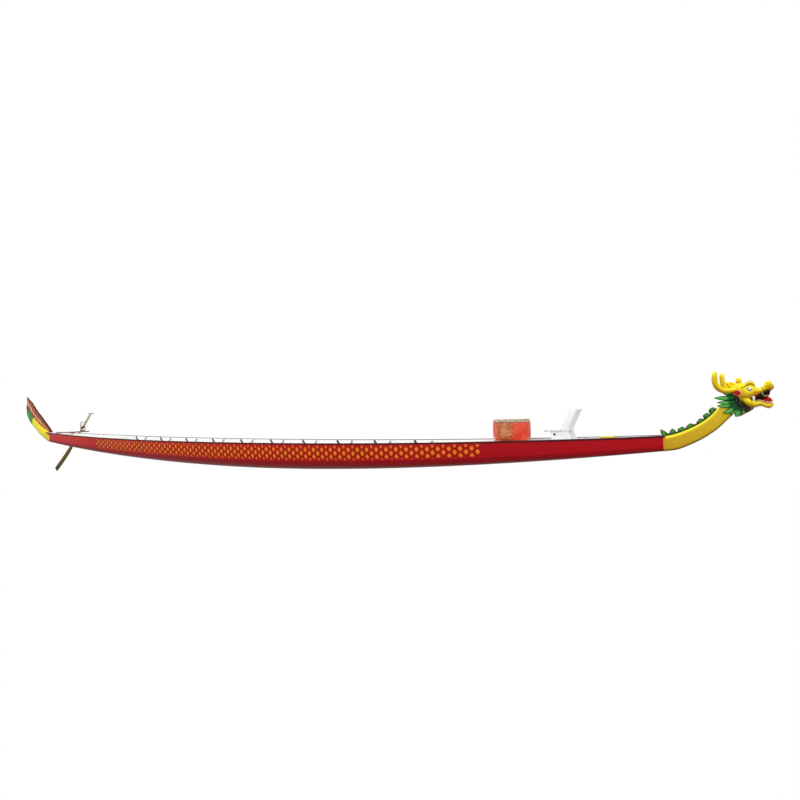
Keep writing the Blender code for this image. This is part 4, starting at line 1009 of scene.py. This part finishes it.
strokes = (
    ("dark", lineDark, "spine_green", 0.0055, (
        ((8.648, 1.171), (8.674, 1.180), (8.700, 1.191), (8.731, 1.204)),
        ((8.720, 1.171), (8.721, 1.150), (8.734, 1.132), (8.759, 1.125)),
        ((8.9900, 1.200), (8.9925, 1.172), (8.9925, 1.148)),
        ((8.795, 1.047), (8.856, 1.083), (8.900, 1.110), (8.947, 1.128), (8.980, 1.136)))),
    ("brown", lineBrown, "ochre_paint", 0.0036, (
        ((8.643, 1.050), (8.689, 1.039), (8.725, 1.053), (8.751, 1.071)),
        ((8.690, 0.945), (8.735, 0.920), (8.800, 0.922), (8.850, 0.936)),
        ((8.870, 1.180), (8.880, 1.150), (8.900, 1.135)), ((8.662, 1.000), (8.672, 0.960), (8.700, 0.935)))),
    ("pink", gumPink, "mouth_red", 0.0065, (
        ((8.797, 1.005), (8.842, 1.009), (8.881, 0.995), (8.920, 0.977), (8.955, 0.971)),
        ((8.742, 1.042), (8.762, 1.058), (8.790, 1.062)))),
    ("red", mouthRed, "mouth_red", 0.0052, (
        ((8.744, 1.036), (8.750, 1.010), (8.760, 0.990)), ((8.800, 1.058), (8.850, 1.090), (8.890, 1.112)))),
)
for word, paint, slot, radius, lines in strokes:
    skinned("head_lines_" + word, paint, slot,
            [strokeRings(points, radius, side) for side in (1, -1) for points in lines], uv="leaf")

teeth = (
    # root x, y, z, tip x, z, radius
    ("fangs", toothWhite, ((8.777, 0.104, 1.058, 8.781, 0.984, 0.0145), (8.875, 0.084, 1.104, 8.877, 1.078, 0.0085),
                           (8.960, 0.064, 1.136, 8.962, 1.108, 0.0080))),
    ("lower", gumPink, ((8.921, 0.066, 0.968, 8.922, 0.996, 0.0085), (8.944, 0.062, 0.966, 8.946, 0.994, 0.0085),
                        (8.965, 0.054, 0.968, 8.967, 0.997, 0.0085), (8.893, 0.072, 0.978, 8.894, 1.000, 0.0075))),
)
for part, paint, rows in teeth:
    skins = []
    for x, y, z, tipX, tipZ, radius in rows:
        path = [(mixed(x, tipX, t) + 0.004 * math.sin(math.pi * t), y - 0.003 * t, mixed(z, tipZ, t),
                 radius * max(1 - t ** 2.2, 0.0) ** 0.6 + 0.0006) for t in (0, 0.2, 0.4, 0.6, 0.8, 0.93, 1.0)]
        skins += [tubeRings(p, 12) for p in mirrored(path)]
    skinned("dragon_teeth_" + part, paint, "eye_white", skins)

# ochre roll of the palate, between roof and tongue: x, z and half height
palate = {
    "rows": ((8.882, 1.062, 0.008), (8.900, 1.060, 0.016), (8.922, 1.062, 0.017), (8.942, 1.068, 0.009)),
    "halfWidth": 0.066,
}
skinned("palate_roll", paletteOchre, "ochre_paint",
        [[[Vector((x, palate["halfWidth"] * c, z + r * s)) for c, s in circle(24)]
          for x, z, r in smoothRows(palate["rows"], 4)]])

eye = {
    "centre": (8.745, 0.108, 1.153),
    "radii": (0.025, 0.026, 0.025),
    "pupil": (8.753, 1.150),
}

# white ball with dark iris and pupil painted on, under clear varnish
eyePaint, add, finish = startMaterial("painted eye", "#F7F5F0", 0.12, Coat_Weight=0.5, Coat_Roughness=0.03)
reach = distance(add, *(add("subtract", add(axis), middle) for axis, middle in zip("xz", eye["pupil"])))
finish(Base_Color=coats(add, "#F7F5F0", ("#D8B8A8", add("noise", 90.0, 3.0), 0.5, 0.8, 0.0, 0.12),
                        ("#4A3010", reach, 0.0085, 0.0098, 1.0, 0.0), ("#120C0A", reach, 0.0055, 0.0065, 1.0, 0.0)))

brows = (
    # x, y, z and radius along each brow
    ("ridge", dragonYellow, "dragon_yellow", (
        (8.690, 0.094, 1.196, 0.008), (8.708, 0.098, 1.214, 0.014), (8.730, 0.100, 1.226, 0.019),
        (8.752, 0.098, 1.231, 0.021), (8.772, 0.094, 1.222, 0.019), (8.786, 0.090, 1.202, 0.014),
        (8.796, 0.090, 1.182, 0.008))),
    ("dark", lineDark, "spine_green", (
        (8.705, 0.094, 1.2330, 0.0035), (8.728, 0.094, 1.2455, 0.005), (8.752, 0.092, 1.2510, 0.0055),
        (8.776, 0.090, 1.2395, 0.005), (8.794, 0.087, 1.2110, 0.0035))),
)
for part, paint, slot, rows in brows:
    skinned("dragon_brow_" + part, paint, slot, [tubeRings(p, 14) for p in mirrored(smoothRows(rows, 5))], uv="leaf")

ears = {
    "bowl": (8.611, 0.124, 1.105),
    "bowlRadii": (0.040, 0.026, 0.031),
    "rim": (8.606, 0.130, 1.105),
    "rimWide": 0.042,
    "rimHigh": 0.032,
    "rimRadius": 0.0075,
}

# the ear's rim goes from orange red at the back to cream in front
rimPaint, add, finish = startMaterial("orange to cream enamel", "#E07A40", 0.26, specular=0.3)
finish(Base_Color=coats(add, "#D8481C", ("#F0D080", add("x"), ears["rim"][0] - 0.01, ears["rim"][0] + 0.04),
                        ("#C86A30", add("noise", 60.0, 3.0), 0.5, 0.8, 0.0, 0.3)),
       Normal=add("relief", add("noise", 50.0, 3.0), 0.15))

antlers = (
    # x, y, z and radius along the beam of an antler and along its tine
    ((8.640, 0.052, 1.176, 0.038), (8.566, 0.074, 1.146, 0.038), (8.500, 0.100, 1.138, 0.037),
     (8.437, 0.114, 1.152, 0.037), (8.385, 0.130, 1.197, 0.037), (8.360, 0.142, 1.265, 0.036),
     (8.358, 0.148, 1.330, 0.034), (8.362, 0.148, 1.366, 0.028)),
    ((8.490, 0.098, 1.140, 0.031), (8.462, 0.102, 1.205, 0.031), (8.446, 0.107, 1.270, 0.030),
     (8.441, 0.110, 1.322, 0.028), (8.441, 0.110, 1.345, 0.021)),
)

mane = {
    # foot x and z, tip x and z, half width
    "leaves": ((8.560, 1.098, 8.421, 1.143, 0.030), (8.585, 1.052, 8.341, 1.049, 0.032),
               (8.580, 0.992, 8.375, 0.990, 0.026), (8.590, 0.965, 8.376, 0.944, 0.030),
               (8.605, 0.935, 8.440, 0.848, 0.034), (8.635, 0.912, 8.518, 0.827, 0.030),
               (8.650, 0.905, 8.580, 0.797, 0.028), (8.668, 0.900, 8.603, 0.797, 0.022),
               (8.690, 0.900, 8.664, 0.831, 0.022), (8.715, 0.895, 8.736, 0.878, 0.018)),
    "throat": ((8.735, 0.906, 8.628, 0.806, 0.022), (8.775, 0.916, 8.690, 0.846, 0.020),
               (8.690, 0.890, 8.606, 0.800, 0.018)),
    "innerFace": 0.0886,
    "thickness": 0.028,
}
throat = []
for side, word in bothSides:
    x, y, z = eye["centre"]
    balls("dragon_eye_" + word, eyePaint, "eye_white", [((x, side * y, z), eye["radii"], 32)], "eye_" + word)
    x, y, z = ears["bowl"]
    balls("dragon_ear_" + word, mouthRed, "mouth_red", [((x, side * y, z), ears["bowlRadii"], 28)], "ear_" + word)
    x, y, z = ears["rim"]
    hooped("dragon_ear_rim_" + word, rimPaint, "dragon_yellow",
           [hoopRings(x, side * y, z, ears["rimWide"], ears["rimHigh"], ears["rimRadius"], 36, 12)], 0.0001)
    skins = []
    for rows in antlers:
        path = [(x, side * y, z, r) for x, y, z, r in smoothRows(rows, 6)]
        x, y, z, r = path[-1]
        path += [(x + 0.001, y, z + r * f, r * math.sqrt(1 - f * f) + 0.0004) for f in (0.4, 0.7, 0.92)]
        skins.append(tubeRings(path, 20))
    skinned("dragon_antler_" + word, dragonYellow, "dragon_yellow", skins, "antler_" + word)
    skins = []
    for k, (footX, footZ, tipX, tipZ, half) in enumerate(mane["leaves"]):
        y = mane["innerFace"] + mane["thickness"] * (0.48 if k % 2 else 0.68)
        skins.append(leafRings((footX, side * y, footZ), (tipX, side * (y - 0.004), tipZ), half, 0.0085,
                               0.008 if k < 5 else -0.006, 12, 16))
    skinned("mane_leaves_" + word, maneGreen, "mane_green", skins, "mane_" + word, uv="leaf")
    throat += [leafRings((footX, side * 0.094, footZ), (tipX, side * 0.090, tipZ), half, 0.008, -0.006, 12, 16)
               for footX, footZ, tipX, tipZ, half in mane["throat"]]
skinned("throat_leaves", leafRusset, "mane_green", throat, uv="leaf")

# ball on the crown and the comb behind it
crown = {
    # centre x, y, z, radii and segments of the ball and of the foot it grows from
    "ball": (((8.627, 0.0, 1.262), (0.034, 0.040, 0.045), 28), ((8.632, 0.0, 1.228), (0.030, 0.036, 0.024), 20)),
    # centre x and z, half length and half height of the comb's lobes
    "comb": ((8.536, 1.195, 0.062, 0.055), (8.502, 1.228, 0.024, 0.028), (8.543, 1.232, 0.022, 0.026),
             (8.572, 1.222, 0.022, 0.024), (8.590, 1.205, 0.030, 0.030)),
    "combHalfWidth": 0.034,
}
balls("crown_ball", dragonYellow, "dragon_yellow", crown["ball"], "crown_knob")
balls("crown_comb", dragonYellow, "dragon_yellow",
      [((x, 0.0, z), (wide, crown["combHalfWidth"], high), 24) for x, z, wide, high in crown["comb"]])

# nostrils: small scrolls on the snout
nostril = {
    "centre": (8.945, 0.086, 1.200),
    "reach": 0.024,
    "radius": 0.0065,
    "start": 0.2,           # half turns
    "sweep": 1.75,
}
path = []
x, y, z = nostril["centre"]
for t in (k / 21 for k in range(22)):
    angle, reach = math.pi * (nostril["start"] + nostril["sweep"] * t), nostril["reach"] * (1 - 0.6 * t)
    path.append((x - reach * math.cos(angle), y + 0.004 * t, z + reach * math.sin(angle),
                 nostril["radius"] * (1 - 0.4 * t)))
skinned("nostril_scrolls", dragonYellow, "dragon_yellow", [tubeRings(p, 10) for p in mirrored(path)])

curls = {
    # outline x and z of the dark ground, its inner and outer face
    "beds": ((((8.500, 1.104), (8.560, 1.090), (8.618, 1.052), (8.660, 0.980), (8.745, 0.900), (8.700, 0.868),
               (8.634, 0.872), (8.565, 0.895), (8.512, 0.945), (8.482, 1.010), (8.480, 1.065)), 0.084, 0.0975),
             (((8.578, 1.082), (8.618, 1.050), (8.662, 0.982), (8.748, 0.898), (8.704, 0.868), (8.662, 0.878),
               (8.606, 0.935), (8.578, 1.004)), 0.090, 0.110)),
    "centres": ((8.586, 1.058), (8.592, 1.030), (8.612, 1.036), (8.590, 1.006), (8.618, 1.010), (8.604, 0.984),
                (8.632, 0.984), (8.606, 0.956), (8.642, 0.958), (8.624, 0.932), (8.654, 0.936), (8.646, 0.910),
                (8.676, 0.926), (8.668, 0.898), (8.700, 0.906), (8.690, 0.882), (8.722, 0.890)),
    "y": 0.1135,
    "radius": 0.016,
    "wire": 0.0056,
    "tipRadius": 0.0052,
    "tipWire": 0.0034,
}
skins = []
for corners, inner, outer in curls["beds"]:
    middle = Vector(map(sum, zip(*corners))) / len(corners)
    outline = smoothRows([*corners, corners[0]], 5)[:-1]
    for side in (1, -1):
        skins.append([[Vector((mixed(middle.x, x, share), side * y, mixed(middle.y, z, share))) for x, z in outline]
                      for y, share in ((inner, 1.0), (outer - 0.006, 1.0), (outer - 0.002, 0.95), (outer, 0.85),
                                       (outer + 0.002, 0.4))])
skinned("curl_bed", curlDark, "mane_green", skins)
places = [((x, side * curls["y"], z), (0.0, side, 0.0)) for x, z in curls["centres"] for side in (1, -1)]
spreadOn("cheek_curls", places, curlOfWire, curlHighlighted, "mane_green", curlRadius=curls["radius"],
         wireRadius=curls["wire"], curlSteps=28)
# small cream curls set inside some of the curls stand for painted highlights
spreadOn("curl_tips", places[2::5] + places[3::5], curlOfWire, creamHighlight, "mane_green",
         curlRadius=curls["tipRadius"], wireRadius=curls["tipWire"], curlSteps=12)
print("head stands")

tail = {
    # top edge x and z, bottom edge x and z, half width, share of body below the crest
    "rows": ((-7.7506, 0.540, -7.7506, 0.285, 0.135, 0.92), (-7.860, 0.660, -7.905, 0.330, 0.118, 0.80),
             (-8.050, 0.810, -8.215, 0.465, 0.100, 0.62), (-8.300, 1.000, -8.525, 0.650, 0.082, 0.50),
             (-8.550, 1.200, -8.800, 0.820, 0.064, 0.48), (-8.780, 1.420, -8.985, 1.020, 0.046, 0.46),
             (-8.930, 1.510, -9.035, 1.250, 0.030, 0.32), (-9.020, 1.578, -9.032, 1.500, 0.014, 0.24)),
    "crestWidth": 0.42,
    # start and end across the crest, rows that a feather reaches over, place in its step, share of the crest's width
    "feathers": (("outer", featherOlive, 0.42, 0.985, 9, 0.35, 0.60),
                 ("inner", featherRose, 0.02, 0.60, 6, 0.85, 0.80)),
    "featherCount": 15,
    "featherWidth": 0.050,
    "limit": -9.030,        # the farthest astern that the tail may reach
}

# tail enamel: yellow, turning green on the outer middle and cream toward the tip, dark along its lower edge
tailPaint, add, finish = startMaterial("banded enamel on the tail", "#F3DC1C", 0.26, specular=0.3)
around, run = (add(axis, add("uv", uv_map="girth")) for axis in "xy")
wobble = add("add", run, add("fade", add("noise", 8.0, 2.0), 0.3, 0.7, -0.02, 0.02))
finish(Base_Color=coats(add, "#DDB41C", ("#F6E41C", wobble, 0.02, 0.22), ("#3A8A34", wobble, 0.51, 0.54),
                        ("#3A3A1C", wobble, 0.72, 0.76), ("#D8B088", wobble, 0.84, 0.88),
                        ("#2E2A14", gapTo(add, around, 0.75), 0.150, 0.172, 1.0, 0.0)),
       Normal=add("relief", add("noise", 30.0, 3.0), 0.15))

rows = smoothRows(tail["rows"], 8)
body, crest = [], []
for topX, topZ, lowX, lowZ, half, split in rows:
    top, low = Vector((topX, topZ)), Vector((lowX, lowZ))
    line = low.lerp(top, split)
    body.append(ringBetween(line, low, half, 3.0, 36))
    crest.append(ringBetween(top - (top - line) * 0.14, line - (line - low) * 0.05, half * tail["crestWidth"] * 0.8,
                             2.6, 28))
skinned("dragon_tail", tailPaint, "dragon_yellow", [body], "tail_body", uv="girth", aft=tail["limit"])
skinned("tail_fin", crestBase, "crest_red", [crest], "tail_crest", uv="leaf", aft=tail["limit"])

for word, paint, near, far, ahead, late, out in tail["feathers"]:
    skins = []
    for k in range(tail["featherCount"]):
        place = (k + late) / tail["featherCount"] * (len(rows) - 1)
        i = min(int(place), len(rows) - 2)
        topX, topZ, lowX, lowZ, half, split = (mixed(a, b, place - i) for a, b in zip(rows[i], rows[i + 1]))
        top, low = Vector((topX, topZ)), Vector((lowX, lowZ))
        line = low.lerp(top, split)
        foot = line.lerp(top, near)
        row = rows[min(i + ahead, len(rows) - 1)]
        top2, low2 = Vector(row[0:2]), Vector(row[2:4])
        tip = low2.lerp(top2, row[5]).lerp(top2, far)
        tip.x = max(tip.x, tail["limit"] + 0.006)
        wide, y = min(tail["featherWidth"], (top - line).length * 0.30), half * tail["crestWidth"] * out
        skins += [leafRings((foot.x, side * y, foot.y), (tip.x, side * y * 0.9, tip.y), wide, 0.006, 0.004, 8, 12)
                  for side in (1, -1)]
    skinned("tail_feathers_" + word, paint, "crest_red", skins, uv="leaf", aft=tail["limit"])
print("tail stands")

oar = {
    "lock": (-7.11, 0.50, 0.66552),
    "angle": 43.5,
    "shaftRadius": 0.021,
    "inboard": 0.54,
    "outboard": 0.74,
    "gripRadius": 0.016,
    "bladeLength": 1.15,
    "bladeBend": 7.5,       # degrees
    "lockShade": (0.0502, -0.0785, 0.145),     # half width, foot and top of the black painted shade inside the lock, from the pivot
    # share of the length, half width, half thickness
    "blade": ((0.00, 0.026, 0.021), (0.06, 0.052, 0.017), (0.14, 0.069, 0.013), (0.50, 0.074, 0.010),
              (0.90, 0.077, 0.007), (0.97, 0.072, 0.006), (1.00, 0.056, 0.005)),
}
lengthGrain = ("stretched", (60.0, 60.0, 3.0), (0.0, math.radians(oar["angle"] - 90.0), 0.0))

# planed ash, oiled and weathered: straight grain along the oar, pale straw
oarWood, add, finish = startMaterial("oiled ash", "#C8BB98", 0.5)
grain = add("noise", 1.0, 6.0, Vector=add(*lengthGrain))
finish(Base_Color=coats(add, "#B5A680", ("#D8CCAC", grain, 0.35, 0.65)), Normal=add("relief", grain, 0.3, 0.0006))

# the blade is darker, soaked and stained toward its tip
bladeWood, add, finish = startMaterial("water-stained ash", "#6B5520", 0.5, specular=0.15)
grain = add("noise", 1.0, 6.0, Vector=add(*lengthGrain))
along = add("y", add("uv", uv_map="leaf"))
finish(Base_Color=coats(add, "#5C481A", ("#7E6828", grain, 0.35, 0.65), ("#38291A", along, 0.30, 0.95),
                        ("#0E0F0B", along, 0.91, 0.95)), Normal=add("relief", grain, 0.3, 0.0006))

shaftFrame = Matrix.Translation(oar["lock"]) @ Matrix.Rotation(math.pi / 2 - math.radians(oar["angle"]), 4, "Y")
edge, inboard = oar["shaftRadius"], oar["inboard"]
swelling = ((-oar["outboard"], 0.97), (-0.5, 1.2), (-0.2, 1.15), (-0.06, 1.0), (0.06, 1.0), (0.14, 1.4), (0.30, 1.4),
            (0.42, 1.3), (inboard - 0.03, 1.1), (inboard, 0.80))
path = [(*(shaftFrame @ Vector((0, 0, z))), edge * share) for z, share in swelling]
skinned("steering_shaft", oarWood, "oar_wood", [tubeRings(smoothRows(path, 4), 32)], "oar_shaft", body="oar")

low, high = (Vector(corner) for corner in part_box("oar_grip"))
middle = (low + high) / 2
path = []
for k in range(17):
    radius = oar["gripRadius"] * (0.84 + 0.16 * math.sin(math.pi * k / 16)) * (0.5 if k in (0, 16) else 1.0)
    path.append((middle.x, mixed(low.y, high.y, k / 16 * 0.995 + 0.0025), middle.z, radius))
skinned("steering_grip", oarWood, "oar_wood", [tubeRings(path, 24, up=Vector((1, 0, 0)))], "oar_grip", body="oar")

rings = []
for share, halfWidth, halfThickness in smoothRows(oar["blade"], 7):
    run = share * oar["bladeLength"]
    sway = run * math.tan(math.radians(oar["bladeBend"]) * share) / 2
    rings.append([shaftFrame @ Vector((halfWidth * c - sway, halfThickness * s, -oar["outboard"] - 0.0006 - run))
                  for c, s in circle(28)])
skinned("steering_blade", bladeWood, "oar_wood", [rings], "oar_blade", uv="leaf", body="oar")

# hot-dip galvanised steel: grey-green, crystal patches, dull sheen; the lock's inside is painted black and not
# metallic, as painted shade
galvanised, add, finish = startMaterial("galvanised steel", "#8A8672", 0.42, 0.7)
crystal = add("ShaderNodeTexVoronoi", Vector="object", Scale=120.0, out="Color")
x, y, z = oar["lock"]
wide, low, high = oar["lockShade"]
lockShade = add("multiply", add("less_than", gapTo(add, add("y"), y), wide), add("greater_than", add("z"), z + low))
lockShade = add("multiply", lockShade, add("less_than", add("z"), z + high))
finish(Base_Color=coats(add, add("mix", 0.16, "#8E8A74", crystal, blend_type="OVERLAY"), ("#17160F", lockShade)),
       Metallic=add("multiply", add("subtract", 1.0, lockShade), 0.7),
       Roughness=add("fade", add("noise", 80.0, 3.0), 0.3, 0.7, 0.34, 0.52))
softened("lock_plate", "oarlock_base", galvanised, 0.0015, "lock_steel")
softened("lock_swivel", "oarlock_foot", galvanised, 0.0015, "lock_steel", body="oarlock")
softened("lock_loop", "oarlock_loop", galvanised, 0.003, "lock_steel", body="oarlock")

# turned black nylon on the collar: satin, faint turning marks; its black also fills the lock's loop as painted shade
blackNylonShade = coated("turned black nylon as painted shade", "#1E1D1B", "#34322E", 0.5, 200.0, (0.34, 0.5))
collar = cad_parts["oar_collar"].data
collar.materials.clear()
collar.materials.append(blackNylonShade)

# brush-painted plank: red brown, matt, painted pale on the faces that look up as painted light, patchy by noise
plankPaint, add, finish = startMaterial("worn red brown paint on a plank", "#8A4A40", 0.6)
paleFacingUp = add("add", add("z", add("normal")), add("fade", add("noise", 20.0, 5.0), 0.3, 0.7, -0.25, 0.25))
brushed = add("noise", 50.0, 3.0, Vector=add("stretched", (1.0, 0.1, 1.0)))
finish(Base_Color=coats(add, "#8A4A40", ("#C2A090", paleFacingUp, 0.35, 0.85)), Normal=add("relief", brushed, 0.3))
softened("stern_plank", "oar_beam", plankPaint, 0.005, "beam_paint")
print("steering oar stands")

print("whole boat stands")
